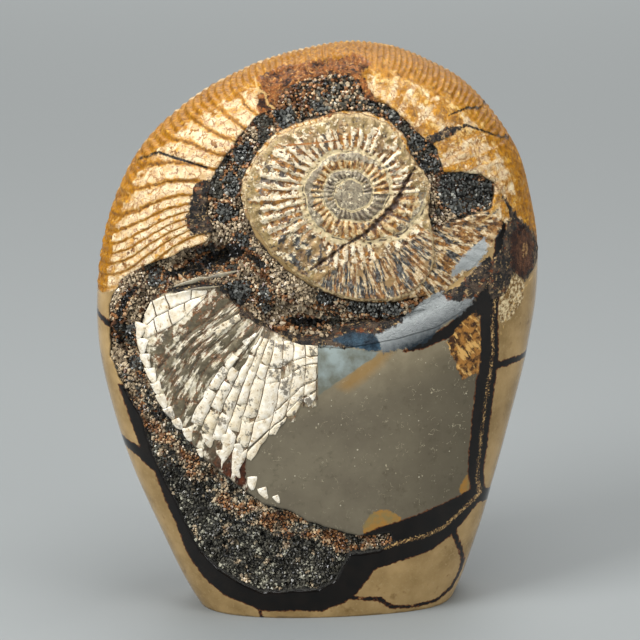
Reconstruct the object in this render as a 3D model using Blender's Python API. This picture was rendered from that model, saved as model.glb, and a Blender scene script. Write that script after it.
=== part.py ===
"""Ammonite in a septarian nodule, ground to a rounded freeform that stands on a flat cut base.

Two natural pieces: the nodule itself, one stone that holds the fossil, and the crust of small
crystals that lines its open cracks. Metres, +Z up, the polished front faces -Y, and the origin
is in the middle of the stone at the level of its base.
"""

import math
import random

import bmesh
import bpy
from mathutils import Vector, geometry

MM = 0.001
NEAR_ZERO = 1e-6

# The stone's outline from the front, as (x, z) in mm. What lies below z = 0 is cut away.
OUTLINE = [
    (14.5, 177.5), (24, 175.8), (35.5, 171), (46.5, 164), (55.5, 153.8), (62.5, 143),
    (66.5, 129), (69, 111), (68.6, 97), (66.4, 82), (61.8, 61), (56.6, 40), (51, 19.5),
    (44.5, 1), (37, -13), (22, -24), (3, -28), (-15, -24), (-29, -13), (-38.5, 1),
    (-49.6, 24.5), (-57.4, 43.5), (-64, 65), (-68, 86), (-68, 106), (-62.9, 129.5),
    (-53.5, 147.5), (-40.5, 159.7), (-24.5, 169), (-5, 175.5),
]
AMMONITE_CENTRE = (9.5, 138.0)
HALF_THICKNESS = 33.0
LEAN = 0.10  # the stone's right side stands back by this share of x
EDGE_ROUNDING = 3.0  # superellipse powers of the section: across the face, then through the depth
DEPTH_ROUNDING = 2.6
RINGS = 12

# The ribs are radial about the ammonite. Angles are in degrees, anticlockwise from +X.
RIM_RIBS_FROM = 10.0
RIM_RIBS_TO = 200.0
RIM_FADE = 15.0
RIM_RIB_PITCH = 2.6
RIM_RIB_HEIGHT = 0.4
RIM_NOTCHES = (0.75, 0.97)  # shares of the radius over which the ribs begin to notch the outline
RIM_SWELLS = (0.65, 0.85)  # and over which they begin to swell the face
RIM_SWELL = 0.4  # how much of a rib's height is on the face
CHAMBER_RIBS_TO = 261.2
CHAMBER_FADE = 7.0
CHAMBER_RIB_PITCH = 3.4
CHAMBER_RIB_HEIGHT = 0.8
CHAMBER_INNER = (0.30, 0.42)
CHAMBER_OUTER = (0.62, 0.76)
BACK_FROM = 0.4  # on a sphere of radius 1: behind this the ribs have faded and the mesh is coarser
BACK_MERGE = 4  # columns of points that become one there
PLAIN_STEP = 6.0  # angular step of the mesh where the stone has no ribs

# The inner whorls: a low coil that stands a little proud of the polished face, with ribs across it.
COIL_OUTLINE = [
    (33.2, 139.5), (31.5, 144), (27.4, 148.8), (25.7, 153.4), (21, 158.4), (14.8, 161.2), (7.5, 161.8),
    (0.3, 160), (-6.6, 157.7), (-12.4, 155.4), (-17.2, 150), (-21.1, 143.3), (-22.1, 138),
    (-20.7, 132.3), (-17.2, 125.5), (-13.3, 120.2), (-7.4, 114.8), (0.5, 109.4), (7.2, 106.5),
    (15, 105), (23, 105.2), (30, 108), (34.5, 114), (35, 122), (33, 131),
]
WHORL_START = 24.5  # mm from the centre to the coil's seam on the +X side
WHORL_GROWTH = 1.54  # times wider after each turn, anticlockwise
WHORLS = 4
WHORL_RIBS = 40
WHORL_HEIGHT = 0.75
WHORL_RIB_HEIGHT = 0.3
WHORL_SHRINK = 0.6  # power at which the relief gets lower towards the centre
COIL_MARGIN = 0.8  # least distance from the coil's outline to its next point
COIL_ROOT = 3.0  # how far it goes into the stone

# The rim of the open crack, as (x, z) in mm: up the left channel, along the fissure, round the
# outside of the inner whorls, back round their edge, and down to the wide hollow at the foot.
HOLLOW_RIM = [
    (-54.5, 67.5), (-58, 73), (-61, 78.5), (-63.5, 84.5), (-63.5, 92.5), (-63.5, 101),
    (-62, 106), (-59, 111), (-55, 114), (-50, 116.5), (-44, 118.5), (-39, 121.5),
    (-33.5, 123.5), (-31, 127.5), (-33, 132), (-33, 137), (-31.5, 143), (-26.5, 151),
    (-22.5, 156), (-18.5, 161), (-12.5, 163), (-11.5, 166.5), (-8, 169.5), (-3, 171.3),
    (4, 172.4), (10, 172.2), (12.8, 170), (14.5, 166), (21, 164), (25.5, 160),
    (31, 155), (36, 150.5), (38, 143.5), (44, 143), (49, 142), (54, 138.5), (53, 131),
    (47, 129.8), (39, 128), (36, 125), (32, 127), (33.5, 134), (34, 140), (28, 149),
    (26.5, 154), (21.5, 159.3), (15, 162), (7.5, 162.6), (0, 160.8), (-7, 158.5),
    (-13, 156), (-18, 150.5), (-22, 143.5), (-23, 138), (-21.5, 132), (-18, 125),
    (-14, 119.5), (-8, 114), (0, 108.5), (7, 105.5), (15, 104), (24, 104.2), (34, 106),
    (28, 100), (20, 98), (11, 97), (3, 92.5), (-6, 93), (-14, 95.3), (-20.5, 100.5),
    (-26, 105.5), (-28.5, 110), (-34, 111.2), (-42.5, 109.5), (-49, 105.5),
    (-53.5, 98), (-55.5, 90.5), (-53, 83), (-48.5, 73.5), (-42.5, 64.5), (-34.5, 54),
    (-26.5, 47.5), (-17, 40), (-8, 37), (-2, 33.5), (6, 30.5), (13, 28.3), (22.5, 29),
    (24.5, 25.5), (19.5, 23.2), (10, 22), (8, 18), (6, 13.5), (0, 9.8), (-8, 9.6),
    (-17, 9.2), (-24.5, 12.7), (-31, 16.7), (-36.5, 22), (-41, 32), (-46, 43), (-51, 54),
]
# How deep the crack is below the polished face, in mm, and where it is deeper: (x, z, reach, extra).
HOLLOW_DEPTH = 2.4
DEEPER = [
    (-15, 24, 17, 3.8),  # the wide hollow at the foot
    (-36, 45, 10, 1.6),
    (-58, 95, 9, 1.4),  # the left channel
    (-34, 117, 7, 3.0),  # the black fissure
    (-27, 118, 5, 2.0),
    (-4, 98, 10, 3.2),  # the void under the inner whorls
    (46, 136, 8, 1.6),
]
CUTTER_CLEAR = 20.0  # how far the cutter's open side stands in front of the stone
FLOOR_PITCH = 5.0
RIM_CLEAR = 0.45  # least share of the pitch between a sheet's outline and its inner points
FLOOR_WANDER = 0.1  # how far a point strays from its row, as a share of the pitch

WALL_GAP = 0.5  # between the crystals and the stone's walls
FLOOR_GAP = 0.5
CRYSTAL_PITCH = 1.95
CRYSTAL_WANDER = 0.16
CRUST_FLOOR_PITCH = 3.4
CRUST_SHARE = 0.3  # thickness of the crust as a share of the hollow's depth
CRUST_LEAST = 0.6  # the thinnest place, as a share of the thickest
CRUST_EDGE = 0.5
CRYSTAL_HEIGHT = 2.0  # of the tallest, where the hollow has room for it
CRYSTAL_LEAST = 0.5  # the lowest crystal, as a share of the tallest
CRYSTAL_CLEAR = 0.2  # from the highest tips to the level of the polished face
SEED = 7


def clear_scene():
    for obj in list(bpy.data.objects):
        bpy.data.objects.remove(obj, do_unlink=True)


def outline_radius(angle):
    """Distance from the ammonite's centre to the outline at this angle, in mm, on a smooth curve."""
    polar = []
    for x, z in OUTLINE:
        dx, dz = x - AMMONITE_CENTRE[0], z - AMMONITE_CENTRE[1]
        polar.append((math.atan2(dz, dx), math.hypot(dx, dz)))
    polar.sort()
    count = len(polar)
    angle = (angle + math.pi) % math.tau - math.pi
    last = sum(point[0] <= angle for point in polar) - 1

    def knot(index):
        turns, place = divmod(index, count)
        return polar[place][0] + turns * math.tau, polar[place][1]

    (a0, r0), (a1, r1), (a2, r2), (a3, r3) = (knot(last + step) for step in (-1, 0, 1, 2))
    width = a2 - a1
    slope_1 = (r2 - r0) / (a2 - a0) * width
    slope_2 = (r3 - r1) / (a3 - a1) * width
    t = (angle - a1) / width
    return (
        (2 * t**3 - 3 * t**2 + 1) * r1 + (t**3 - 2 * t**2 + t) * slope_1
        + (3 * t**2 - 2 * t**3) * r2 + (t**3 - t**2) * slope_2
    )


def front_face(x, z):
    """Y of the polished front, in mm, at a point of the front view."""
    dx, dz = x - AMMONITE_CENTRE[0], z - AMMONITE_CENTRE[1]
    share = min(math.hypot(dx, dz) / outline_radius(math.atan2(dz, dx)), 1.0)
    return LEAN * x - HALF_THICKNESS * (1 - share**EDGE_ROUNDING) ** (1 / DEPTH_ROUNDING)


def smooth_step(low, high, value):
    t = min(max((value - low) / (high - low), 0.0), 1.0)
    return t * t * (3 - 2 * t)


def rib_angles():
    """The mesh's angles in degrees: two steps to each rib, and long steps where there are none."""
    angles = []
    angle = RIM_RIBS_FROM
    while angle < RIM_RIBS_FROM + 360 - 0.5 * PLAIN_STEP:
        angles.append(angle)
        if angle < RIM_RIBS_TO - 0.01:
            angle += RIM_RIB_PITCH / 2
        elif angle < CHAMBER_RIBS_TO - 0.01:
            angle += CHAMBER_RIB_PITCH / 2
        else:
            angle += PLAIN_STEP
    return angles


def ribs(angle, share, front):
    """(outward, forward) relief of the ribs in mm, at an angle in degrees and a share of the radius."""
    if RIM_RIBS_FROM <= angle <= RIM_RIBS_TO:
        crest = math.cos(math.tau * (angle - RIM_RIBS_FROM) / RIM_RIB_PITCH)
        height = RIM_RIB_HEIGHT * crest
        height *= smooth_step(0, RIM_FADE, min(angle - RIM_RIBS_FROM, RIM_RIBS_TO - angle))
        notch = height * smooth_step(*RIM_NOTCHES, share)
        return notch, RIM_SWELL * height * smooth_step(*RIM_SWELLS, share)
    if front and RIM_RIBS_TO < angle <= CHAMBER_RIBS_TO:
        crest = math.cos(math.tau * (angle - RIM_RIBS_TO) / CHAMBER_RIB_PITCH)
        ends = smooth_step(0, CHAMBER_FADE, min(angle - RIM_RIBS_TO, CHAMBER_RIBS_TO - angle))
        across = smooth_step(*CHAMBER_INNER, share) * (1 - smooth_step(*CHAMBER_OUTER, share))
        return 0.0, CHAMBER_RIB_HEIGHT * crest * ends * across
    return 0.0, 0.0


def object_from(bm, name, collection):
    bmesh.ops.recalc_face_normals(bm, faces=bm.faces)
    mesh = bpy.data.meshes.new(name)
    bm.to_mesh(mesh)
    bm.free()
    obj = bpy.data.objects.new(name, mesh)
    collection.objects.link(obj)
    return obj


def merge_back_columns(bm, columns):
    """Leaves one column in BACK_MERGE of the back's points, where no rib shows."""
    targets = {}
    for (column, ring), vert in columns.items():
        kept = columns[column - column % BACK_MERGE, ring]
        if kept is not vert:
            targets[vert] = kept
    bmesh.ops.weld_verts(bm, targetmap=targets)


def make_stone(collection):
    """A sphere with its poles at the front and the back, moulded to the outline and cut at the base."""
    angles = rib_angles()
    bm = bmesh.new()
    bmesh.ops.create_uvsphere(bm, u_segments=len(angles), v_segments=RINGS, radius=1.0)
    centre = Vector((AMMONITE_CENTRE[0], 0, AMMONITE_CENTRE[1]))
    columns = {}
    for vert in bm.verts:
        across = math.hypot(vert.co.x, vert.co.y)
        column = round(math.atan2(vert.co.y, vert.co.x) / math.tau * len(angles)) % len(angles)
        angle = angles[column]
        front = vert.co.z < 0
        if vert.co.z > BACK_FROM and across > NEAR_ZERO and angle < CHAMBER_RIBS_TO:
            columns[column, round(vert.co.z, 3)] = vert
        share = across ** (2 / EDGE_ROUNDING)
        depth = abs(vert.co.z) ** (2 / DEPTH_ROUNDING) if abs(vert.co.z) > NEAR_ZERO else 0.0
        outward, forward = ribs(angle, share, front)
        outward *= 1 - smooth_step(0.0, BACK_FROM, vert.co.z)
        turn = math.radians(angle)
        reach = outline_radius(turn) * share + outward
        x = centre.x + reach * math.cos(turn)
        z = centre.z + reach * math.sin(turn)
        y = LEAN * x + HALF_THICKNESS * depth * (-1 if front else 1)
        vert.co = Vector((x, y - forward if front else y, z)) * MM
    merge_back_columns(bm, columns)
    cut = bmesh.ops.bisect_plane(
        bm, geom=bm.verts[:] + bm.edges[:] + bm.faces[:], dist=NEAR_ZERO,
        plane_co=(0, 0, 0), plane_no=(0, 0, -1), clear_outer=True,
    )
    base_edges = [item for item in cut["geom_cut"] if isinstance(item, bmesh.types.BMEdge)]
    bmesh.ops.edgeloop_fill(bm, edges=base_edges)
    return object_from(bm, "nodule", collection)


def inside(point, outline):
    """Whether a point lies inside a closed outline, by counting the edges to its right."""
    x, z = point
    crossings = 0
    for (x1, z1), (x2, z2) in zip(outline, outline[1:] + outline[:1]):
        if (z1 > z) != (z2 > z) and x < x1 + (z - z1) / (z2 - z1) * (x2 - x1):
            crossings += 1
    return crossings % 2 == 1


def to_rim(point, outline):
    """Shortest distance from a point to a closed outline."""
    here = Vector(point)
    ends = zip(outline, outline[1:] + outline[:1])
    nearest = []
    for a, b in ends:
        start, along = Vector(a), Vector(b) - Vector(a)
        t = min(max((here - start).dot(along) / along.length_squared, 0.0), 1.0)
        nearest.append((here - start - along * t).length)
    return min(nearest)


def inset(outline, distance):
    """The outline moved inwards. Its points run clockwise in the front view."""
    moved = []
    for before, here, after in zip(outline[-1:] + outline[:-1], outline, outline[1:] + outline[:1]):
        along = (Vector(after) - Vector(before)).normalized()
        moved.append((here[0] + along.y * distance, here[1] - along.x * distance))
    return moved


def filled_sheet(outline, pitch, wander, chance):
    """Triangles that fill an outline: (points, triangles, tips), with staggered points inside.

    Every third inner point is a tip, so that each tip stands in a ring of six lower points.
    """
    xs, zs = [x for x, _ in outline], [z for _, z in outline]
    points = [Vector(point) for point in outline]
    tips = set()
    row_height = pitch * math.sqrt(3) / 2
    for row in range(int((max(zs) - min(zs)) / row_height) + 1):
        for column in range(int((max(xs) - min(xs)) / pitch) + 2):
            shift = Vector((chance.uniform(-wander, wander), chance.uniform(-wander, wander)))
            place = Vector((min(xs) + (column - 0.5 * (row % 2)) * pitch, min(zs) + row * row_height))
            point = place + shift * pitch
            if not inside(point, outline) or to_rim(point, outline) < RIM_CLEAR * pitch:
                continue
            if (column - (row + row % 2) // 2 - row) % 3 == 0:
                tips.add(len(points))
            points.append(point)
    return triangulated(outline, points, tips)


def triangulated(outline, points, tips=frozenset()):
    """A sheet from points that begin with those of its outline."""
    found = geometry.delaunay_2d_cdt(points, [], [list(range(len(outline)))], 1, 1e-5)
    return found[0], found[2], {new for new, old in enumerate(found[3]) if set(old) & tips}


def slab(name, outline, near_sheet, near, far_sheet, far, collection):
    """A closed solid between two sheets that share an outline, each lifted to its own Y in mm."""
    bm = bmesh.new()
    rims = []
    for (points, triangles, tips), lift in ((near_sheet, near), (far_sheet, far)):
        verts = []
        for i, p in enumerate(points):
            verts.append(bm.verts.new(Vector((p.x, lift(p.x, p.y, i, i in tips), p.y)) * MM))
        for triangle in triangles:
            bm.faces.new([verts[i] for i in triangle])
        rims.append(verts[: len(outline)])
    for i in range(len(outline)):
        j = (i + 1) % len(outline)
        bm.faces.new((rims[0][i], rims[0][j], rims[1][j], rims[1][i]))
    bmesh.ops.triangulate(bm, faces=[face for face in bm.faces if len(face.verts) > 3])
    return object_from(bm, name, collection)


def whorl_relief(x, z):
    """How far the coil stands proud, in mm: low along the spiral seam, high on each rib between."""
    dx, dz = x - AMMONITE_CENTRE[0], z - AMMONITE_CENTRE[1]
    reach = max(math.hypot(dx, dz), 0.1)
    turn = math.atan2(dz, dx) % math.tau
    whorl = math.log(reach / WHORL_START) / math.log(WHORL_GROWTH) - turn / math.tau
    bulge = math.sin(math.pi * (whorl % 1.0))
    size = min(reach / WHORL_START, 1.0) ** WHORL_SHRINK
    return size * bulge * (WHORL_HEIGHT + WHORL_RIB_HEIGHT * math.cos(WHORL_RIBS * turn))


def join_coil(stone, cutters):
    """Fuses the inner whorls to the stone: points on the seam and on the crest, two to each rib."""
    points = [Vector(point) for point in COIL_OUTLINE]
    half_ribs = 2 * WHORL_RIBS
    for step in range(int(half_ribs * WHORLS), -half_ribs, -1):
        turns = -step / half_ribs
        turn = math.tau * turns
        for seam in (0.0, 0.5):
            reach = WHORL_START * WHORL_GROWTH ** (turns + seam)
            point = Vector(AMMONITE_CENTRE) + reach * Vector((math.cos(turn), math.sin(turn)))
            if inside(point, COIL_OUTLINE) and to_rim(point, COIL_OUTLINE) > COIL_MARGIN:
                points.append(point)
    points.append(Vector(AMMONITE_CENTRE))
    coil = slab(
        "inner_whorls", COIL_OUTLINE,
        triangulated(COIL_OUTLINE, points),
        lambda x, z, i, tip: front_face(x, z) - (whorl_relief(x, z) if i >= len(COIL_OUTLINE) else 0.0),
        filled_sheet(COIL_OUTLINE, FLOOR_PITCH, FLOOR_WANDER, random.Random(SEED)),
        lambda x, z, i, tip: front_face(x, z) + COIL_ROOT, cutters,
    )
    coil.hide_render = True
    coil.display_type = "WIRE"
    join = stone.modifiers.new("inner whorls", "BOOLEAN")
    join.operation = "UNION"
    join.object = coil


def hollow_depth(x, z):
    return HOLLOW_DEPTH + sum(
        extra * math.exp(-((x - cx) ** 2 + (z - cz) ** 2) / reach**2) for cx, cz, reach, extra in DEEPER
    )


def hollow_floor(x, z):
    return front_face(x, z) + hollow_depth(x, z)


def cut_hollow(stone, cutters):
    """Takes the open crack out of the stone, with straight walls and a floor that follows its face."""
    floor_sheet = filled_sheet(HOLLOW_RIM, FLOOR_PITCH, FLOOR_WANDER, random.Random(SEED))
    open_side = -HALF_THICKNESS - CUTTER_CLEAR
    cutter = slab(
        "hollow_cutter", HOLLOW_RIM,
        floor_sheet, lambda x, z, i, tip: open_side,
        floor_sheet, lambda x, z, i, tip: hollow_floor(x, z), cutters,
    )
    cutter.hide_render = True
    cutter.display_type = "WIRE"
    cut = stone.modifiers.new("open crack", "BOOLEAN")
    cut.operation = "DIFFERENCE"
    cut.object = cutter


def make_crust(collection):
    """The crystals of the crack, grown together in one lumpy layer that lies on its floor."""
    outline = inset(HOLLOW_RIM, WALL_GAP)
    chance = random.Random(SEED)
    crystals = filled_sheet(outline, CRYSTAL_PITCH, CRYSTAL_WANDER, chance)
    floor_sheet = filled_sheet(outline, CRUST_FLOOR_PITCH, FLOOR_WANDER, chance)
    heights = [chance.random() for _ in crystals[0]]

    def crystal_top(x, z, i, tip):
        floor = hollow_floor(x, z) - FLOOR_GAP
        if i < len(outline):
            return floor - CRUST_EDGE
        body = CRUST_SHARE * hollow_depth(x, z) * (CRUST_LEAST + (1 - CRUST_LEAST) * heights[i])
        room = hollow_depth(x, z) - FLOOR_GAP - CRYSTAL_CLEAR - body
        crystal = min(room, CRYSTAL_HEIGHT) * (CRYSTAL_LEAST + (1 - CRYSTAL_LEAST) * heights[i])
        return floor - body - (crystal if tip else 0.0)

    return slab(
        "crystal_crust", outline, crystals, crystal_top,
        floor_sheet, lambda x, z, i, tip: hollow_floor(x, z) - FLOOR_GAP, collection,
    )


def paint(obj, name, colour, roughness):
    material = bpy.data.materials.new(name)
    material.use_nodes = True
    shader = material.node_tree.nodes["Principled BSDF"]
    shader.inputs["Base Color"].default_value = (*colour, 1)
    shader.inputs["Roughness"].default_value = roughness
    shader.inputs["Metallic"].default_value = 0.0
    obj.data.materials.append(material)


def centre_on_base(objects):
    """Moves the meshes so that the stone's box is centred on the origin in X and Y."""
    stone = objects[0]
    for axis in (0, 1):
        values = [vert.co[axis] for vert in stone.data.vertices]
        middle = (min(values) + max(values)) / 2
        for obj in objects:
            for vert in obj.data.vertices:
                vert.co[axis] -= middle


def build():
    clear_scene()
    parts = bpy.data.collections.new("ammonite in septarian nodule")
    cutters = bpy.data.collections.new("cutters")
    bpy.context.scene.collection.children.link(parts)
    bpy.context.scene.collection.children.link(cutters)

    stone = make_stone(parts)
    join_coil(stone, cutters)
    cut_hollow(stone, cutters)
    crust = make_crust(parts)
    centre_on_base([stone, crust, *cutters.objects])

    paint(stone, "polished limestone and shell", (0.42, 0.27, 0.12), 0.25)
    paint(crust, "calcite crystals", (0.035, 0.032, 0.03), 0.4)
    stone.data.shade_smooth()
    stone.data.set_sharp_from_angle(angle=math.radians(35))


build()
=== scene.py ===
"""Ammonite in a septarian nodule: a rounded stone, ground and polished, on a flat cut base."""

import itertools
import math

import bpy
import numpy as np
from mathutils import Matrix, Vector, geometry


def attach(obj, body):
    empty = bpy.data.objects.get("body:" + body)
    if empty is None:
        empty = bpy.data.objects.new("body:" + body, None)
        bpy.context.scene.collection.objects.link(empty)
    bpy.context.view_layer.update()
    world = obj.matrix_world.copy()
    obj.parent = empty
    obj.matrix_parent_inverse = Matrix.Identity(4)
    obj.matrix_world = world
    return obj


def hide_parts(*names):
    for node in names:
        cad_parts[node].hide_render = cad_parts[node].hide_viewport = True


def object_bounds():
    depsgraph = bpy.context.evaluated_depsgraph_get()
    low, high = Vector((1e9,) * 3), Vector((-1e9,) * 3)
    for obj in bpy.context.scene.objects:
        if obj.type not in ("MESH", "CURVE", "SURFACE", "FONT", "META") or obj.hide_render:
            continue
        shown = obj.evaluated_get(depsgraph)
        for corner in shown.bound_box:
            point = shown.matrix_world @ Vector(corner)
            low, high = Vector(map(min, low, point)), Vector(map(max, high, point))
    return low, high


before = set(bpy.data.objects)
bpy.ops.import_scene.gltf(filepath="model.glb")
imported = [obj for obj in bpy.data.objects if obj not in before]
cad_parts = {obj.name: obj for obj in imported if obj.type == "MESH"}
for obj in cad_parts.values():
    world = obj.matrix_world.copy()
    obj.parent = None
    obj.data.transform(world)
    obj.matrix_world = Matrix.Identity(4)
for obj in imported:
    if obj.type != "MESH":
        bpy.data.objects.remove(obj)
size_at_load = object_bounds()

# ------------------------------------------------------------------ the nodule's ground surface
# One stone: grey mudstone with a tan weathered rind, cracked through, the cracks healed with black
# calcite, and a fossil shell in its upper half. It was sawn flat below, then ground and polished.
# Lengths are in mm in the front view, x to the right and z up, until they are set on the origin.

MM = 0.001
STONE_MIDDLE = (0.294, 0.405)  # of the stone's box in X and Y, before it is set on the origin
AMMONITE = (9.5, 138.0)  # the centre of its coil
HALF_THICKNESS = 33.0
LEAN = 0.10  # how far back the stone's middle plane goes for each mm to the right
EDGE_ROUNDING = 3.0  # the powers of the section's curve: a flat face and a round edge
DEPTH_ROUNDING = 2.6
# The widest line round the stone, from its top; the saw cut takes away what is below z = 0.
OUTLINE = [
    (14.5, 177.5), (24, 175.8), (35.5, 171), (46.5, 164), (55.5, 153.8), (62.5, 143),
    (66.5, 129), (69, 111), (68.6, 97), (66.4, 82), (61.8, 61), (56.6, 40), (51, 19.5),
    (44.5, 1), (37, -13), (22, -24), (3, -28), (-15, -24), (-29, -13), (-38.5, 1),
    (-49.6, 24.5), (-57.4, 43.5), (-64, 65), (-68, 86), (-68, 106), (-62.9, 129.5),
    (-53.5, 147.5), (-40.5, 159.7), (-24.5, 169), (-5, 175.5),
]
# The rim of the open crack.
HOLLOW_RIM = [
    (-54.5, 67.5), (-58, 73), (-61, 78.5), (-63.5, 84.5), (-63.5, 92.5), (-63.5, 101),
    (-62, 106), (-59, 111), (-55, 114), (-50, 116.5), (-44, 118.5), (-39, 121.5),
    (-33.5, 123.5), (-31, 127.5), (-33, 132), (-33, 137), (-31.5, 143), (-26.5, 151),
    (-22.5, 156), (-18.5, 161), (-12.5, 163), (-11.5, 166.5), (-8, 169.5), (-3, 171.3),
    (4, 172.4), (10, 172.2), (12.8, 170), (14.5, 166), (21, 164), (25.5, 160),
    (31, 155), (36, 150.5), (38, 143.5), (44, 143), (49, 142), (54, 138.5), (53, 131),
    (47, 129.8), (39, 128), (36, 125), (32, 127), (33.5, 134), (34, 140), (28, 149),
    (26.5, 154), (21.5, 159.3), (15, 162), (7.5, 162.6), (0, 160.8), (-7, 158.5),
    (-13, 156), (-18, 150.5), (-22, 143.5), (-23, 138), (-21.5, 132), (-18, 125),
    (-14, 119.5), (-8, 114), (0, 108.5), (7, 105.5), (15, 104), (24, 104.2), (34, 106),
    (28, 100), (20, 98), (11, 97), (3, 92.5), (-6, 93), (-14, 95.3), (-20.5, 100.5),
    (-26, 105.5), (-28.5, 110), (-34, 111.2), (-42.5, 109.5), (-49, 105.5),
    (-53.5, 98), (-55.5, 90.5), (-53, 83), (-48.5, 73.5), (-42.5, 64.5), (-34.5, 54),
    (-26.5, 47.5), (-17, 40), (-8, 37), (-2, 33.5), (6, 30.5), (13, 28.3), (22.5, 29),
    (24.5, 25.5), (19.5, 23.2), (10, 22), (8, 18), (6, 13.5), (0, 9.8), (-8, 9.6),
    (-17, 9.2), (-24.5, 12.7), (-31, 16.7), (-36.5, 22), (-41, 32), (-46, 43), (-51, 54),
]
HOLLOW_DEPTH = 2.4
# Where the crack is deeper: (x, z, reach, extra depth).
DEEPER = [
    (-15, 24, 17, 3.8), (-36, 45, 10, 1.6), (-58, 95, 9, 1.4), (-34, 117, 7, 3.0),
    (-27, 118, 5, 2.0), (-4, 98, 10, 3.2), (46, 136, 8, 1.6),
]
# The edge of the inner whorls, which stand over the crack.
COIL_OUTLINE = [
    (33.2, 139.5), (31.5, 144), (27.4, 148.8), (25.7, 153.4), (21, 158.4), (14.8, 161.2), (7.5, 161.8),
    (0.3, 160), (-6.6, 157.7), (-12.4, 155.4), (-17.2, 150), (-21.1, 143.3), (-22.1, 138),
    (-20.7, 132.3), (-17.2, 125.5), (-13.3, 120.2), (-7.4, 114.8), (0.5, 109.4), (7.2, 106.5),
    (15, 105), (23, 105.2), (30, 108), (34.5, 114), (35, 122), (33, 131),
]
FINE_PITCH = 0.53  # mm between the skin's points where it is worked, and twice that where it is plain
BACK_PITCH = 0.75
EDGE_PITCH = 0.55
ROW_PITCH = 0.866  # between rows of points in a net of equal triangles, for a pitch of 1
BASE_STEPS = 10


def smooth(low, high, value):
    """A smooth step from 0 to 1 as the value passes from low to high."""
    t = np.clip((value - low) / (high - low), 0.0, 1.0)
    return t * t * (3 - 2 * t)


def closed_reach(outline, turn):
    """Distance from the ammonite's centre to a closed outline at an angle, on a smooth curve."""
    dx, dz = (np.array(outline, float) - AMMONITE).T
    order = np.argsort(np.arctan2(dz, dx))
    turns, reach = np.arctan2(dz, dx)[order], np.hypot(dx, dz)[order]
    turns = np.concatenate([turns[-2:] - math.tau, turns, turns[:2] + math.tau])
    reach = np.concatenate([reach[-2:], reach, reach[:2]])
    turn = (np.asarray(turn) + math.pi) % math.tau - math.pi
    i = np.clip(np.searchsorted(turns, turn, side="right") - 1, 1, len(turns) - 3)
    width = turns[i + 1] - turns[i]
    slope_1 = (reach[i + 1] - reach[i - 1]) / (turns[i + 1] - turns[i - 1]) * width
    slope_2 = (reach[i + 2] - reach[i]) / (turns[i + 2] - turns[i]) * width
    t = (turn - turns[i]) / width
    return (
        (2 * t**3 - 3 * t**2 + 1) * reach[i] + (t**3 - 2 * t**2 + t) * slope_1
        + (3 * t**2 - 2 * t**3) * reach[i + 1] + (t**3 - t**2) * slope_2
    )


def about_ammonite(x, z):
    """(angle, distance) of points about the ammonite's centre."""
    dx, dz = x - AMMONITE[0], z - AMMONITE[1]
    return np.arctan2(dz, dx), np.hypot(dx, dz)


def front_face(x, z):
    """Y of the polished front."""
    turn, reach = about_ammonite(x, z)
    share = np.clip(reach / closed_reach(OUTLINE, turn), 0, 1)
    return LEAN * x - HALF_THICKNESS * (1 - share**EDGE_ROUNDING) ** (1 / DEPTH_ROUNDING)


def from_segment(x, z, start, end, low=0, high=1):
    """Where along a segment the nearest spot is, 0 to 1 from end to end, and the way from it in x and z."""
    (x1, z1), (x2, z2) = start, end
    ex, ez = x2 - x1, z2 - z1
    t = np.clip(((x - x1) * ex + (z - z1) * ez) / (ex * ex + ez * ez), low, high)
    return t, x - x1 - t * ex, z - z1 - t * ez


def inward(x, z, *outlines):
    """How far points are inside the closest of some closed outlines, less than 0 outside them all."""
    found = []
    for outline in outlines:
        nearest = np.full(x.shape, np.inf)
        crossings = np.zeros(x.shape, int)
        for (x1, z1), (x2, z2) in zip(outline, outline[1:] + outline[:1]):
            _, dx, dz = from_segment(x, z, (x1, z1), (x2, z2))
            nearest = np.minimum(nearest, np.hypot(dx, dz))
            if z1 != z2:
                crossings += ((z1 > z) != (z2 > z)) & (x < x1 + (z - z1) / (z2 - z1) * (x2 - x1))
        found.append(np.where(crossings % 2 == 1, nearest, -nearest))
    return np.maximum.reduce(found)


def along(x, z, *lines):
    """How far points are inside the closest of some veins, whose lines are (x, z, half their width)."""
    found = np.full(x.shape, -np.inf)
    for line in lines:
        for (x1, z1, half_1), (x2, z2, half_2) in zip(line, line[1:]):
            t, dx, dz = from_segment(x, z, (x1, z1), (x2, z2))
            found = np.maximum(found, half_1 + (half_2 - half_1) * t - np.hypot(dx, dz))
    return found


def within(x, z, spots):
    """How far points are inside the closest of some round spots, each (x, z, radius)."""
    return np.maximum.reduce([radius - np.hypot(x - cx, z - cz) for cx, cz, radius in spots])


def dips(x, z, spots):
    """The depth of some round dips together, each (x, z, reach, depth)."""
    return sum(
        depth * np.exp(-((x - cx) ** 2 + (z - cz) ** 2) / reach**2) for cx, cz, reach, depth in spots
    )


def lumps(points, size, seed):
    """Smooth seeded noise from -1 to 1 at points in mm, in lumps of about this size."""
    cells = np.asarray(points) / size
    corner = np.floor(cells).astype(np.int64)
    t = cells - corner
    t = t * t * (3 - 2 * t)
    total = np.zeros(len(cells))
    for step in itertools.product((0, 1), repeat=3):
        i, j, k = (corner + step).T
        mixed = (i * 73856093 ^ j * 19349663 ^ k * 83492791 ^ seed * 2654435761) & 0xFFFFFFFF
        mixed = ((mixed ^ (mixed >> 13)) * 1274126177) & 0xFFFFFFFF
        value = ((mixed ^ (mixed >> 16)) & 0xFFFF) / 32767.5 - 1
        total += np.prod(np.where(step, t, 1 - t), axis=1) * value
    return total


def in_front(x, z):
    """Points (x, 0, z) for noise that is the same at any depth."""
    return np.stack([x, np.zeros(len(x)), z], 1)


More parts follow.
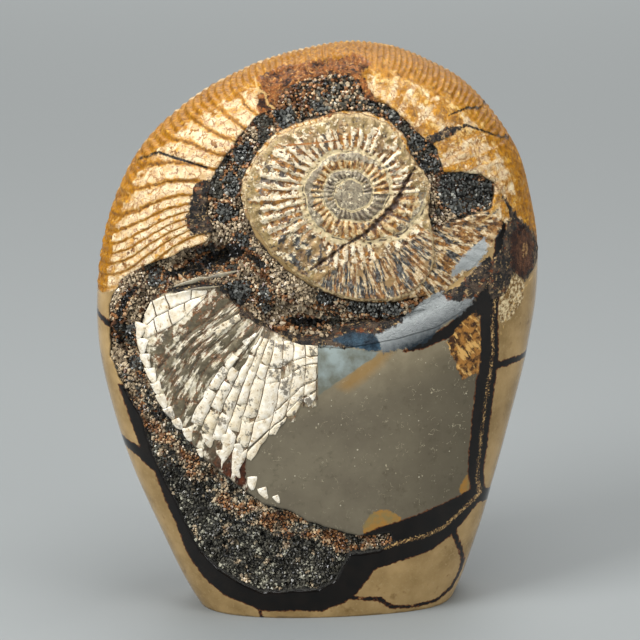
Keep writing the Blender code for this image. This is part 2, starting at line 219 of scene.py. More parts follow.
# The unrolled section: how far along the surface a share of the radius lies, as a share of the whole.
TYPICAL_RADIUS = 75.0
SECTION_STEPS = 400
SECTION_SHARE = np.sin(np.linspace(0, 0.5 * math.pi, SECTION_STEPS)) ** (2 / 3)
section_depth = HALF_THICKNESS * (1 - SECTION_SHARE**EDGE_ROUNDING) ** (1 / DEPTH_ROUNDING)
section_steps = np.hypot(np.diff(TYPICAL_RADIUS * SECTION_SHARE), np.diff(section_depth))
SECTION_ARC = np.concatenate([[0], np.cumsum(section_steps)]) / section_steps.sum()
OVER_EDGE = 18.0  # mm that the curve of the edge adds to the radius
FACE_BELOW, FACE_ABOVE, FACE_BESIDE = 170, 90, 100  # how far the unrolled face reaches from the centre
ANGLE_SAMPLES, EDGE_SAMPLES = 20001, 4001
RIM_STRIP = 13.0  # width of the finely meshed strip behind the ribbed rim
RIM_ENDS, RIM_BEGINS = 206, 352  # the rim has no ribs between these angles, in degrees


def unrolled_reach(turn):
    """Distance from the ammonite's centre to the edge over the stone's curved face."""
    return closed_reach(OUTLINE, turn) + OVER_EDGE


def edge_of_face():
    """Angles of the face's edge, evenly along it, how far out it is, and which are on the saw cut."""
    turn = np.linspace(-math.pi, math.pi, ANGLE_SAMPLES)
    drop = -closed_reach(OUTLINE, turn) * np.sin(turn)
    cut = drop > AMMONITE[1]
    first, last = turn[cut][0], turn[cut][-1]
    pieces = []
    for start, end, sawn in ((last, first + math.tau, False), (first, last, True)):
        t = np.linspace(start, end, EDGE_SAMPLES)
        reach = AMMONITE[1] / -np.sin(t) if sawn else closed_reach(OUTLINE, t)
        px, pz = reach * np.cos(t), reach * np.sin(t)
        length = np.concatenate([[0], np.cumsum(np.hypot(np.diff(px), np.diff(pz)))])
        count = round(length[-1] / EDGE_PITCH)
        even = np.interp(np.linspace(0, length[-1], count, endpoint=False), length, t)
        pieces.append((even, np.full(count, sawn)))
    # The two corners belong to both faces, so they are not on the cut.
    pieces[1] = (pieces[1][0], np.arange(len(pieces[1][1])) > 0)
    turns = np.concatenate([pieces[0][0], pieces[1][0]])
    sawn = np.concatenate([pieces[0][1], pieces[1][1]])
    share = np.where(sawn, AMMONITE[1] / (-closed_reach(OUTLINE, turns) * np.sin(turns)), 1.0)
    return turns, np.interp(share, SECTION_SHARE, SECTION_ARC), sawn


def flat_mesh(edge_turn, edge_arc, pitch, plain):
    """Points (angle, arc share) over one face, its edge first, and the triangles between them."""
    reach = unrolled_reach(edge_turn) * edge_arc
    edge = np.stack([reach * np.cos(edge_turn), reach * np.sin(edge_turn)], 1)
    rows = np.arange(-int(FACE_BELOW / (pitch * ROW_PITCH)), int(FACE_ABOVE / (pitch * ROW_PITCH)))
    columns = np.arange(-int(FACE_BESIDE / pitch), int(FACE_BESIDE / pitch))
    column, row = (grid.ravel() for grid in np.meshgrid(columns, rows))
    u = (column + 0.5 * (row % 2)) * pitch
    v = row * pitch * ROW_PITCH
    turn, out = np.arctan2(v, u), np.hypot(u, v)
    order = np.argsort(edge_turn % math.tau)
    limit = np.interp(turn % math.tau, edge_turn[order] % math.tau, reach[order], period=math.tau)
    kept = out < limit - 0.6 * pitch
    coarse = (column % 2 == 0) & (row % 2 == 0)
    arc = out / unrolled_reach(turn)
    kept &= coarse | ~plain(turn, arc)
    inner = np.stack([u[kept], v[kept]], 1)
    points = np.concatenate([edge, inner])
    found = geometry.delaunay_2d_cdt(
        [Vector(p) for p in points.tolist()], [], [list(range(len(edge)))], 1, 1e-6
    )
    where = np.array([old[0] if old else -1 for old in found[3]])
    triangles = where[np.array(found[2])]
    triangles = triangles[(triangles >= 0).all(axis=1)]
    turn = np.concatenate([edge_turn, turn[kept]])
    return turn, np.concatenate([edge_arc, arc[kept]]), triangles


def on_front(turn, arc):
    """(x, z) of points on a face, and their share of the radius."""
    share = np.interp(arc, SECTION_ARC, SECTION_SHARE)
    reach = closed_reach(OUTLINE, turn) * share
    return AMMONITE[0] + reach * np.cos(turn), AMMONITE[1] + reach * np.sin(turn), share


# Where there is shell of the outer whorl, as far as the marks and the crack leave it.
SHELL_REGION = [
    (-80, 103), (-66, 104.5), (-59, 108), (-50, 112), (-30, 118), (-18, 138), (-2, 158), (20, 158),
    (32, 140), (36, 128), (56, 127), (60, 124), (67, 112), (80, 110), (80, 200), (-80, 200),
]
# The body chamber with its broken plates.
CHAMBER = [
    (-53.5, 99.5), (-50, 104.5), (-45, 107.5), (-38, 109.6), (-31, 110.4), (-27.5, 108), (-24.5, 104.5),
    (-19, 99.5), (-13, 95), (-6, 92.8), (0, 92), (-0.2, 72.3), (-1.7, 71.3), (-5.3, 72), (-7.5, 66.9),
    (-10.2, 69.5), (-13.3, 65.7), (-17.3, 63.1), (-21, 62.1), (-22.3, 51.3), (-21.5, 44),
    (-27.5, 48.5), (-34.5, 55), (-42, 65.5), (-48, 74.5), (-52.5, 83.5), (-54.8, 90.5),
]


def plain_front(turn, arc):
    """Where the front has no fine relief."""
    x, z, share = on_front(turn, arc)
    worked = np.maximum(inward(x, z, HOLLOW_RIM) + 2.0, inward(x, z, CHAMBER) + 1.0)
    worked = np.maximum(worked, inward(x, z, SHELL_REGION))
    return (worked < 0) | (inward(x, z, COIL_OUTLINE) > 1.5)


def plain_back(turn, arc):
    """All of the back but a strip behind the ribbed rim."""
    degrees = np.degrees(turn) % 360
    return ((1 - arc) * unrolled_reach(turn) > RIM_STRIP) | ((degrees > RIM_ENDS) & (degrees < RIM_BEGINS))


def face_points(turn, arc, side):
    """Points of the front, whose side is -1, or of the back, whose side is 1."""
    x, z, share = on_front(turn, arc)
    bulge = HALF_THICKNESS * (1 - np.clip(share, 0, 1) ** EDGE_ROUNDING) ** (1 / DEPTH_ROUNDING)
    return np.stack([x, LEAN * x + side * bulge, z], 1)


edge_turn, edge_arc, sawn = edge_of_face()
front_turn, front_arc, front_triangles = flat_mesh(edge_turn, edge_arc, FINE_PITCH, plain_front)
back_turn, back_arc, back_triangles = flat_mesh(edge_turn, edge_arc, BACK_PITCH, plain_back)
edge_count, front_count = len(edge_turn), len(front_turn)
front_points, back_points = face_points(front_turn, front_arc, -1), face_points(back_turn, back_arc, 1)

# The back shares the front's edge, apart from the saw cut, where the base lies between them.
index_of_back = np.arange(len(back_turn)) + front_count - edge_count
index_of_back[:edge_count] = np.arange(edge_count)
sawn_index = np.flatnonzero(sawn)
own_back = np.arange(len(sawn_index)) + front_count + len(back_turn) - edge_count
index_of_back[sawn_index] = own_back
points = [front_points, back_points[edge_count:], back_points[sawn_index]]
base_rows = [sawn_index]
count = front_count + len(back_turn) - edge_count + len(sawn_index)
for step in range(1, BASE_STEPS):
    t = step / BASE_STEPS
    points.append(front_points[sawn_index] * (1 - t) + back_points[sawn_index] * t)
    base_rows.append(np.arange(count, count + len(sawn_index)))
    count += len(sawn_index)
base_rows.append(own_back)
base_triangles = []
corners = (sawn_index[0] - 1, (sawn_index[-1] + 1) % edge_count)
for near, far in zip(base_rows, base_rows[1:]):
    base_triangles.append(np.stack([near[:-1], far[:-1], far[1:]], 1))
    base_triangles.append(np.stack([near[:-1], far[1:], near[1:]], 1))
    base_triangles.append([[corners[0], far[0], near[0]], [corners[1], near[-1], far[-1]]])
skin = np.concatenate(points)
skin[:, 2] = np.maximum(skin[:, 2], 0.0)
triangles = np.concatenate([front_triangles, index_of_back[back_triangles][:, ::-1], *base_triangles])

# How far each point is behind the stone's widest line, in mm along the surface: less than 0 in front.
behind = np.zeros(len(skin))
behind[:front_count] = -(1 - front_arc) * unrolled_reach(front_turn)
behind[index_of_back[edge_count:]] = ((1 - back_arc) * unrolled_reach(back_turn))[edge_count:]
behind[sawn_index] = -(1 - edge_arc[sawn_index]) * unrolled_reach(edge_turn[sawn_index])
for step, row in enumerate(base_rows):
    behind[row] = behind[sawn_index] * (1 - 2 * step / BASE_STEPS)

# What shows on the polished face, as outlines and as lines with half their width.
MUDSTONE = [
    (-0.5, 94), (3.8, 94), (10.5, 94), (19, 95), (26, 96), (35.2, 98), (42, 99), (46, 90),
    (49.7, 78.7), (48.8, 74.8), (47.8, 64.3), (47.1, 53.3), (47.2, 46.6), (49, 41), (39.4, 36),
    (29.3, 32), (19.4, 28), (11.6, 27), (4.5, 30), (-3.6, 32), (-10, 34), (-20, 38), (-34, 50),
    (-50, 70), (-57, 92), (-50, 106), (-34, 112), (-20, 104), (-6, 94),
]
OCHRE = [(20.3, 30.8, 6.2), (51.0, 40.5, 6.6)]  # stained ends of the mudstone: (x, z, radius)
LOWER_VEIN = [
    (49.5, 40.6), (39.4, 37.2), (29.3, 33.9), (19.4, 30.9), (12, 28), (6, 24), (8, 14), (19.5, 17.3),
    (27.3, 19.5), (35.5, 21.6), (42.8, 26.3), (49.2, 33.1), (53, 36),
]
VUG_BAND = [
    (-61.1, 76), (-58.4, 67.5), (-55.2, 57.1), (-50.6, 49.3), (-47.1, 38.5), (-44.1, 31.1),
    (-40.9, 21.1), (-35.3, 12.5), (-29.1, 7.3), (-20.3, 4.1), (-16.5, 2.4), (-6.5, 3), (0.8, 2.4),
    (8.3, 5.4), (12.3, 8.8), (15.8, 13.6), (18.2, 17.7), (21.7, 19), (22, 26), (0, 26), (-30, 45),
    (-50, 78),
]
VEINS = [
    [(55.5, 129, 1.6), (55.8, 118, 1.8), (54.3, 110.5, 1.6), (52.6, 97, 2.6), (52.8, 83, 2.9),
     (51.7, 73.8, 2.9), (50.7, 63.7, 2.9), (49.9, 52.5, 2.8), (49.5, 46, 2.4), (50.2, 39.5, 2.1)],
    [(50.6, 37, 2.4), (55, 34, 1.5), (60, 33, 1.3), (66, 32, 1.0)],
    [(55.1, 80.6, 0.9), (60, 81, 1.0), (66, 80.5, 0.75), (72, 80, 0.6)],
    [(57, 112, 1.6), (50, 102, 2.6), (41, 94.5, 1.9), (33, 90.6, 1.2), (26.6, 88.9, 0.5)],
    [(-68, 58.8, 0.9), (-60.3, 55.9, 1.4), (-55, 54.3, 1.7), (-50, 50.5, 2.0)],
    [(-72, 98, 0.6), (-66.9, 96.8, 0.8), (-63.4, 95.2, 0.8)],
    [(42.8, 26.3, 0.7), (45, 19.6, 0.55), (46.2, 14.1, 0.5), (45, 9.5, 0.45), (42.4, 5.2, 0.5),
     (37.5, 2.4, 0.5), (29.8, 1.9, 0.4), (23.1, 2.5, 0.5), (19.6, 5.8, 0.6), (10.8, 6.7, 0.3)],
    [(-20.2, 7.5, 0.35), (-18.7, 4.2, 0.3), (-17.5, 0, 0.3)],
]
VEIN_SEAM = [
    (54.5, 104, 0.4), (53.6, 94, 0.35), (54.0, 86, 0.3), (53.2, 78, 0.35), (51.9, 68, 0.3),
    (50.9, 58, 0.35), (50.3, 50, 0.3), (50, 44, 0.35), (51, 37.5, 0.6), (47, 34.8, 0.5),
    (45.2, 33.6, 0.45), (40.2, 29.5, 0.5), (35.4, 27.5, 0.45), (27.2, 25.8, 0.5), (20.4, 24.2, 0.6),
]
SHELL_LINES = [
    [(39.6, 159.7, 0.15), (45, 160.7, 0.3), (52, 158.8, 0.2)],
    [(44.8, 156.3, 0.3), (49.3, 154.2, 0.25), (59.1, 148.8, 0.2)],
    [(-55, 144.8, 0.15), (-47.8, 148.7, 0.35), (-40.3, 147.6, 0.4), (-33, 145.8, 0.4)],
]
PALE_LINES = [
    [(68.4, 108.2, 0.25), (65.7, 105.9, 0.25), (61.1, 101.4, 0.25), (58.3, 95.9, 0.25),
     (56.1, 90.4, 0.1)],
    [(55.4, 131.8, 0.3), (51.4, 128.5, 0.3), (46.1, 124.8, 0.3), (40, 121.2, 0.3), (34, 113.8, 0.2)],
    [(-18.9, 170.1, 0.2), (-17.9, 167.6, 0.3), (-15.9, 167.0, 0.3), (-14.9, 164.2, 0.35),
     (-11.8, 162.3, 0.3), (-9.7, 165, 0.35), (-6.1, 163.5, 0.25)],
]
FAN = [
    (3.8, 105.5), (11.6, 103), (21, 101.5), (29.2, 102), (36, 104), (43.2, 110), (50.9, 117),
    (56.5, 125.7), (55, 130.5), (47.3, 130), (39.9, 128.6), (36, 125.5), (32.1, 126.6), (24.8, 120.4),
    (15.8, 116.9), (8.3, 117.1), (2.3, 113.2), (-0.8, 108.7),
]
FEATHER = [
    (39.5, 90.5), (42.4, 94.5), (46.0, 98.2), (48.3, 99.5), (49.7, 94), (49.9, 86.8), (49.7, 78.7),
    (46.8, 79.5), (44.8, 77.5), (42.3, 83.5), (40.5, 87.5),
]
SPECKLED = [(57.1, 106.7), (55.3, 100.6), (56, 94.7), (59.3, 95), (63.1, 99.8), (64, 105), (60.9, 110)]
GRANULAR = [
    [(-36.3, 141.5), (-31, 143), (-28, 136), (-29, 127), (-33.1, 126), (-38, 126), (-39.5, 129.7),
     (-38.2, 135.5)],
    [(33.7, 152.2), (39.2, 153.6), (45.6, 156.6), (39.2, 156.4), (31, 153.8)],
    [(51, 112), (56, 118), (58.7, 129), (54, 138), (62, 126), (66.5, 121), (70, 112), (64, 106),
     (60, 110), (57.5, 104), (53, 102)],
    [(-58, 110), (-45, 117), (-30, 123), (-18, 122), (-8, 112), (6, 103), (28, 103), (43, 108),
     (52, 117), (55, 112), (46, 101), (36, 95.5), (24, 92.5), (8, 90), (-6, 91), (-22, 100),
     (-30, 110), (-48, 107), (-56, 100), (-60, 106)],
]
# Patches of painted reflection: the lamps' glare on black calcite, pale blue-grey, fading to the calcite's
# own dark.
CALCITE_GLARE = [
    [(17.0, 93.6), (24.4, 96.7), (29.3, 102.1), (33.3, 104.8), (38.1, 106.6), (39, 103.5), (43.8, 103.3),
     (47.4, 104.3), (47, 101.9), (43, 98.6), (37.4, 95.5), (33.3, 91.0), (27.7, 89.2), (20, 88.3)],
    [(39.5, 110), (44.0, 112.5), (48.5, 114), (52, 119), (50.8, 122.7), (46.5, 119.5), (42, 115)],
]
DEEP_BLUE = [(4.5, 92.5), (10, 95.0), (17.5, 94), (19.5, 90.5), (18.5, 88.8), (12, 89.8), (8, 91)]
GREY_WEDGE = [(-0.2, 92), (19.3, 88.4), (12, 83.5), (0.2, 75.4)]
GOLD_WEDGE = [(6, 78), (12, 84.5), (19, 88.6), (23, 89), (19, 84), (14.5, 80), (9, 76.5)]
TOP_PATCH = [
    (-17, 161), (-18.5, 166), (-16.5, 170.5), (-13, 174), (-5.5, 176.3), (4, 178), (11, 178), (15, 174),
    (16, 168), (22, 163), (14, 162), (0, 161.5), (-8, 159),
]
BROWN_STAIN = [
    (58.7, 122), (62, 124.5), (65.5, 120.9), (67, 114.6), (66, 109.6), (62.9, 107.3), (59.5, 111.6),
]

# The growth bands of the outer whorl: the angle of each seam, counted anticlockwise from +X.
BAND_SEAMS = [131, 140, 148, 156, 163, 169.3, 175, 180, 183.2, 185.8, 188, 190.2, 192.4, 195, 198.5, 203]
BAND_PITCH = 4.2
# Where the chamber's ribs part, on the scale of the lines below: narrow at the left, broad at the right.
RIB_EDGES = [0, 1, 1.4, 1.75, 2.1, 2.5, 2.9, 3.3, 3.7, 4.1, 4.6, 5.2, 5.9, 6.5, 7.2, 8, 9]
# The ribs of the body chamber, from the first on the left: each line runs outwards from the crack.
CHAMBER_RIBS = [
    [(-31.7, 109.3), (-41.5, 100.6), (-51.2, 92.3)], [(-24.5, 105.9), (-38.6, 95.3), (-51.1, 80.1)],
    [(-23.4, 100.2), (-36.5, 88.3), (-46.7, 69.3)], [(-18.6, 95.4), (-31.1, 80.5), (-39.7, 60.5)],
    [(-16.8, 93.8), (-24.2, 76.7), (-32.1, 53.6)], [(-13.8, 92.9), (-18.7, 74.1), (-25.1, 48.5)],
    [(-9.8, 92.8), (-11.4, 75.7), (-15.2, 61.1)], [(-4.7, 91.5), (-4.7, 81.9), (-5.3, 70.8)],
    [(0.1, 90.8), (-0.2, 82.8), (-0.2, 73.2)],
]


def band_of(x, z):
    """Which growth band of the outer whorl a point is in: whole numbers fall on the seams."""
    turn, reach = about_ammonite(x, z)
    degrees = np.degrees(turn) % 360
    degrees = np.where(degrees > 290, degrees - 360, degrees)
    degrees -= 8 * smooth(45, 76, reach) * smooth(150, 175, degrees)
    seams = np.arange(len(BAND_SEAMS))
    return np.where(
        degrees < BAND_SEAMS[0],
        (degrees - BAND_SEAMS[0]) / BAND_PITCH,
        np.interp(degrees, BAND_SEAMS, seams),
    )


def rib_of(x, z):
    """Which rib of the body chamber a point is on, from the lines that part them."""
    offsets = []
    for line in CHAMBER_RIBS:
        nearest = np.full(x.shape, np.inf)
        side = np.zeros(x.shape)
        for (x1, z1), (x2, z2) in zip(line, line[1:]):
            low, high = 0 if (x1, z1) != line[0] else -2, 1 if (x2, z2) != line[-1] else 3
            _, dx, dz = from_segment(x, z, (x1, z1), (x2, z2), low, high)
            away = np.hypot(dx, dz)
            side = np.where(away < nearest, np.sign((x2 - x1) * dz - (z2 - z1) * dx), side)
            nearest = np.minimum(away, nearest)
        offsets.append(nearest * side)
    offsets = np.array(offsets)
    rib = np.zeros(x.shape)
    for i, (left, right) in enumerate(zip(offsets, offsets[1:])):
        between = (left > 0) & (right <= 0)
        rib = np.where(between, i + left / (left - right + 1e-9), rib)
    return np.where(offsets[-1] > 0, len(CHAMBER_RIBS) - 1.0, rib)


# Voids between the crystals, where the crack is open further back: (x, z, reach, extra depth).
VOIDS = [
    (-47, 114.5, 4.5, 2.6), (-40, 117.5, 4.5, 3.5), (-33, 119.5, 4.5, 4.0), (-27, 118, 4, 3.0),
    (-20, 112, 4, 2.5), (-4, 99, 5, 4.0), (4, 97, 5, 4.0), (-12, 101, 4, 3.0), (11, 99.5, 4, 2.0),
    (-59, 88, 4, 2.0), (-57, 75, 3.5, 2.0), (-32, 47, 3.5, 2.0), (-25, 43, 3, 2.0), (12, 26, 3, 1.5),
]


def crust_top(x, z, y):
    """How deep the crystals' bed lies in the open crack, in mm: lumpy, as it grew."""
    place = np.stack([x, y, z], 1)
    grown = 0.60 - 0.24 * lumps(place, 3.6, 3) - 0.14 * lumps(place, 1.9, 4)
    return (HOLLOW_DEPTH + dips(x, z, DEEPER)) * grown + dips(x, z, VOIDS)


ROUNDED_WIDTH, ROUNDED_DEPTH = 9, 2.0


def rounding(x, z):
    """How far the chamber and the mudstone round off towards the open crack between them, in mm."""
    rounded = np.maximum(inward(x, z, MUDSTONE) + 4, inward(x, z, CHAMBER)) > 0
    near = np.clip(1 + inward(x, z, HOLLOW_RIM) / ROUNDED_WIDTH, 0, 1)
    return ROUNDED_DEPTH * near**2 * smooth(76, 86, z) * smooth(112, 104, z) * rounded


def rib_column(x, z):
    """Which column of the body chamber's broken shell a point is in: whole numbers part them."""
    return np.interp(rib_of(x, z), RIB_EDGES, np.arange(len(RIB_EDGES)))


RIM_RIB_PITCH = 2.6  # degrees round the ammonite
RIM_RIB_HEIGHT = 0.42
BAND_STEP, MORE_STEP_AT_LEFT = 0.18, 0.42  # the drop over each growth band
FAN_SUNK, FAN_GROOVE, PATCH_SUNK = 0.35, 1.2, 0.6
COIL_SUNK, LINE_CUT = 1.6, 0.5  # the bed under the inner whorls, and the dark lines in the shell
FLAT_FOOT = 0.6  # no relief so close to the base


def chamber_ribs(column):
    """Height of the chamber's bed in mm: ribbed at the left, nearly flat at the right."""
    return (0.25 + 0.3 * smooth(11, 7, column)) * (np.sin(math.pi * (column % 1.0)) ** 0.7 - 1)


def fan_wave(turn, reach):
    """The crushed ribs of the fan: lumps drawn out along the radius."""
    return lumps(np.stack([np.degrees(turn) % 360 * 0.62, reach / 9, 0 * reach], 1), 1.0, 16)


x, y, z = skin.T
front = behind < 0
FAR_OUT = -50.0


def front_only(*outlines):
    """How far points are inside the closest of some outlines, which the back doesn't have."""
    return np.where(front, inward(x, z, *outlines), FAR_OUT)


def clear_of(value, limit):
    """A front mark that wraps round the stone's edge, and fades so many mm behind it."""
    return np.minimum(value, limit - behind)


place = skin.copy()
waver = 0.5 * lumps(place, 1.6, 11) + 0.5 * lumps(place, 3.7, 12)
hollow = np.where(front, inward(x, z, HOLLOW_RIM) + 0.5 * waver, FAR_OUT)
coil, chamber, fan = front_only(COIL_OUTLINE), front_only(CHAMBER), front_only(FAN)
band, rib = band_of(x, z), rib_column(x, z)
# Marks keep less to their lines behind the edge.
wandering = smooth(-8, 4, behind) * lumps(place, 9.0, 41)
shell = inward(x, z + 5 * wandering + 2 * smooth(-8, 4, behind) * lumps(place, 3.0, 42), SHELL_REGION)
shell = np.minimum(shell, 17 + 5 * lumps(place, 12, 13) - behind)
turn, reach = about_ammonite(x, z)
degrees = np.degrees(turn) % 360
ring = closed_reach(OUTLINE, turn) - reach

# Relief in mm, out of the surface: ribs of the rim, growth bands, ribs of the chamber and the fan.
rim_wave = np.cos(math.tau * (degrees - 10 + 0.9 * lumps(place, 7.0, 18)) / RIM_RIB_PITCH)
rim_wave = rim_wave * (0.75 + 0.25 * lumps(place, 6.0, 19)) - 0.5 * np.abs(lumps(place, 3.0, 20))
on_rim = smooth(5, 1.5, ring) * smooth(8, 16, degrees) * smooth(206, 196, degrees) * smooth(14, 8, behind)
relief = RIM_RIB_HEIGHT * on_rim * rim_wave
to_seam = 1 - band % 1.0
on_band = smooth(0, 1.5, shell) * smooth(-2, -5, behind)
on_left = smooth(140, 165, degrees) * smooth(215, 200, degrees)
shingled = -np.clip(to_seam, 0, 1) ** 1.6 - 0.5 * smooth(0.06, 0.0, to_seam)
relief += on_band * (BAND_STEP + MORE_STEP_AT_LEFT * on_left) * shingled
relief += on_band * (0.24 * lumps(place, 1.9, 14) + 0.18 * lumps(place, 0.9, 15))
relief += smooth(0.3, 2.0, chamber) * (chamber_ribs(rib) + 0.12 * lumps(place, 1.0, 21))
relief += smooth(0, 1.5, fan) * (0.40 * fan_wave(turn, reach) - FAN_SUNK + 0.12 * lumps(place, 0.9, 17))
relief -= rounding(x, z) * front
relief -= FAN_GROOVE * smooth(4, 0, np.abs(fan)) * smooth(118, 110, z)
patch = smooth(-0.5, 1.0, np.minimum(inward(x, z, TOP_PATCH), -8.0 - behind))
relief += patch * (0.30 * lumps(place, 1.5, 36) + 0.20 * lumps(place, 0.8, 37) - PATCH_SUNK)
relief = np.where(z < FLAT_FOOT, 0.0, relief)

first, second, third = np.moveaxis(skin[triangles], 1, 0)
face_normal = np.cross(second - first, third - first)
summed = [np.bincount(triangles.ravel(), np.repeat(part, 3), len(skin)) for part in face_normal.T]
normal = np.stack(summed, 1)
normal /= np.linalg.norm(normal, axis=1)[:, None]
skin += normal * relief[:, None]
skin[:, 1] += crust_top(x, z, y) * smooth(-0.5, 0.8, hollow)
skin[:, 1] += COIL_SUNK * smooth(0.3, 1.2, coil)
dark_lines = along(x, z, *SHELL_LINES)
skin[:, 1] += np.where(front, LINE_CUT * smooth(-0.2, 0.2, dark_lines), 0.0)


def in_place(points):
    """Points in mm of the front view, set on the origin, in metres."""
    return (np.asarray(points) - (STONE_MIDDLE[0], STONE_MIDDLE[1], 0)) * MM


def mesh_object(name, points, faces, fields, chart, flat=False):
    """An object of a closed mesh, with fields of values at its points, and a flat chart of its faces."""
    mesh = bpy.data.meshes.new(name)
    mesh.from_pydata(np.clip(in_place(points), *size_at_load), [], faces.tolist())
    mesh.polygons.foreach_set("use_smooth", [not flat] * len(faces))
    for field, values in fields.items():
        mesh.attributes.new(field, "FLOAT", "POINT").data.foreach_set("value", values.astype(np.float32))
    mesh.uv_layers.new(name="OFBake").uv.foreach_set("vector", chart.reshape(-1).astype(np.float32))
    obj = bpy.data.objects.new(name, mesh)
    bpy.context.scene.collection.objects.link(obj)
    return obj


marks = {
    "mudstone": clear_of(inward(x, z, MUDSTONE), -3),
    "ochre": within(x, z, OCHRE),
    "vein": np.maximum(
        clear_of(inward(x, z, LOWER_VEIN, VUG_BAND), 0),
        along(x, z + 3 * wandering, *VEINS) - 0.13 * np.maximum(behind, 0),
    ),
    "vein_seam": clear_of(along(x, z, VEIN_SEAM), 0),
    "chamber": chamber,
    "chamber_rib": rib,
    "chamber_foot": smooth(66, 50, z - 0.35 * (x + 25)) * (chamber > -3),
    "shell": shell,
    "band": band,
    "rim": np.minimum(ring, 40) + np.maximum(behind, 0),
    "creamy": smooth(95, 135, degrees) * smooth(208, 196, degrees),
    "fan": fan,
    "feather": front_only(FEATHER),
    "speckled": front_only(SPECKLED),
    "steel": front_only(*CALCITE_GLARE),
    # painted reflection: mm across the glare, from its bright side to the dark calcite
    "glare_fade": ((x - 20) * 12 - (z - 91) * 27) / 29.5,  # mm across the stripe, from light to dark
    "deep_blue": front_only(DEEP_BLUE),
    "gold_wedge": front_only(GOLD_WEDGE),
    "grey_wedge": front_only(GREY_WEDGE),
    "top_patch": clear_of(inward(x, z, TOP_PATCH), -8.0),
    "patch_dark": 1 - np.hypot((x - 6) / 11, (z - 168) / 6),
    # painted highlight: the mudstone paler towards its upper edge, as the lamps' glare
    "glare_towards_top": smooth(66, 90, z - 0.25 * x),
    "granular": clear_of(inward(x, z, *GRANULAR), 6),
    "brown_stain": clear_of(inward(x, z, BROWN_STAIN), 4),
    "knot": 1 - np.hypot((x - 63.7) / 3.4, (z - 116) / 7.5),
    "hollow": hollow,
    "dark_line": clear_of(dark_lines, 10),
    "pale_line": clear_of(along(x, z, *PALE_LINES), 10),
    "behind": behind,
}

# The chart: the front fills most of it, and the back and the base stand beside it at half the scale.
FRONT_CHART = (0.005, 0.005, 0.0047)  # left, foot, and chart units for each mm
BACK_CHART = (0.665, 0.005, 0.00235)
BASE_CHART = (0.80, 0.60, 0.00235)
CHART_SPREAD = 0.15
CHART_LEFT, CHART_FRONT, CHART_BELOW = 70, 30, 4  # mm that the chart takes in on each side of the origin


def face_chart(turn, arc, left, foot, scale):
    """The face laid flat, its steep edge a little spread, on the chart."""
    share = np.interp(arc, SECTION_ARC, SECTION_SHARE)
    reach = closed_reach(OUTLINE, turn) * ((1 - CHART_SPREAD) * share + CHART_SPREAD * arc)
    across, up = AMMONITE[0] + reach * np.cos(turn), AMMONITE[1] + reach * np.sin(turn)
    return np.stack([left + (across + CHART_LEFT) * scale, foot + (up + CHART_BELOW) * scale], 1)


base_faces = triangles[len(front_triangles) + len(back_triangles) :]
base_left, base_foot, base_scale = BASE_CHART
base_chart = np.stack([base_left + x * base_scale, base_foot + (y + CHART_FRONT) * base_scale], 1)
chart = np.concatenate([
    face_chart(front_turn, front_arc, *FRONT_CHART)[front_triangles],
    face_chart(back_turn, back_arc, *BACK_CHART)[back_triangles[:, ::-1]],
    base_chart[base_faces],
])
nodule = mesh_object("polished_nodule", skin, triangles, marks, chart)


def colour(code):
    """Linear colour of an sRGB hex value."""
    parts = [int(code[i : i + 2], 16) / 255 for i in (1, 3, 5)]
    return (*[c / 12.92 if c <= 0.04045 else ((c + 0.055) / 1.055) ** 2.4 for c in parts], 1.0)


def add(material, kind, *values, out=0, **words):
    """Adds a node and gives back one of its outputs.

    Values, or other nodes' outputs, fill its open sockets in order. A word with a capital fills the
    socket of that name, and any other word is a setting of the node.
    """
    node = material.node_tree.nodes.new("ShaderNode" + kind)
    for word, value in words.items():
        if word[0].islower():
            setattr(node, word, value)
    sockets = [socket for socket in node.inputs if socket.enabled]
    filled = list(zip(sockets, values))
    filled += [(node.inputs[word], value) for word, value in words.items() if word[0].isupper()]
    for socket, value in filled:
        if isinstance(value, bpy.types.NodeSocket):
            material.node_tree.links.new(value, socket)
        else:
            socket.default_value = colour(value) if isinstance(value, str) else value
    return node.outputs[out]


def new_material(name, roughness, ior, specular=0.5):
    """A material and its shader."""
    material = bpy.data.materials.new(name)
    material.use_nodes = True
    shader = material.node_tree.nodes["Principled BSDF"]
    shader.inputs["Roughness"].default_value = roughness
    shader.inputs["IOR"].default_value = ior
    shader.inputs["Specular IOR Level"].default_value = specular
    return material, shader


def overlaid(m, tone, *layers):
    """A tone with others over it: each is (value, low, high, tone) and comes in from low to high."""
    for value, low, high, over in layers:
        tone = add(m, "MixRGB", add(m, "MapRange", value, low, high), tone, over)
    return tone


# Noise where a cloud begins and where it is full, and the noise's detail and roughness.
CLOUD_SHAPE = (0.36, 0.64, 4.0, 0.6)


def mottled(m, place, tone, *layers):
    """A tone with others over it in clouds: each is (tone, size in mm), and CLOUD_SHAPE's own may follow."""
    for over, size, *shape in layers:
        low, high, detail, rough = *shape, *CLOUD_SHAPE[len(shape) :]
        tone = overlaid(m, tone, (add(m, "TexNoise", place, 1 / size, detail, rough), low, high, over))
    return tone


def place_in_mm(m):
    """Position on the stone in mm."""
    spot = add(m, "TexCoord", out="Object")
    return add(m, "VectorMath", spot, (1 / MM,) * 3, operation="MULTIPLY")


def polar_place(m, place):
    """(swing, reach) about the ammonite's centre: swing is 0 above it and a half turn below."""
    dx = add(m, "Math", add(m, "SeparateXYZ", place, out=0), STONE_MIDDLE[0] - AMMONITE[0])
    dz = add(m, "Math", add(m, "SeparateXYZ", place, out=2), -AMMONITE[1])
    flat = add(m, "CombineXYZ", dx, 0.0, dz)
    swing = add(m, "Math", dx, dz, operation="ARCTAN2")
    return swing, add(m, "VectorMath", flat, operation="LENGTH", out="Value")


def streaks(m, swing, reach, radius, width, length, detail=3.0):
    """Noise drawn out along the radius: streaks so many mm wide, at this distance from the centre."""
    across = add(m, "Math", swing, radius / width, operation="MULTIPLY")
    outward = add(m, "Math", reach, 1 / length, operation="MULTIPLY")
    return add(m, "TexNoise", add(m, "CombineXYZ", across, outward, 0.0), 1.0, detail, 0.6)


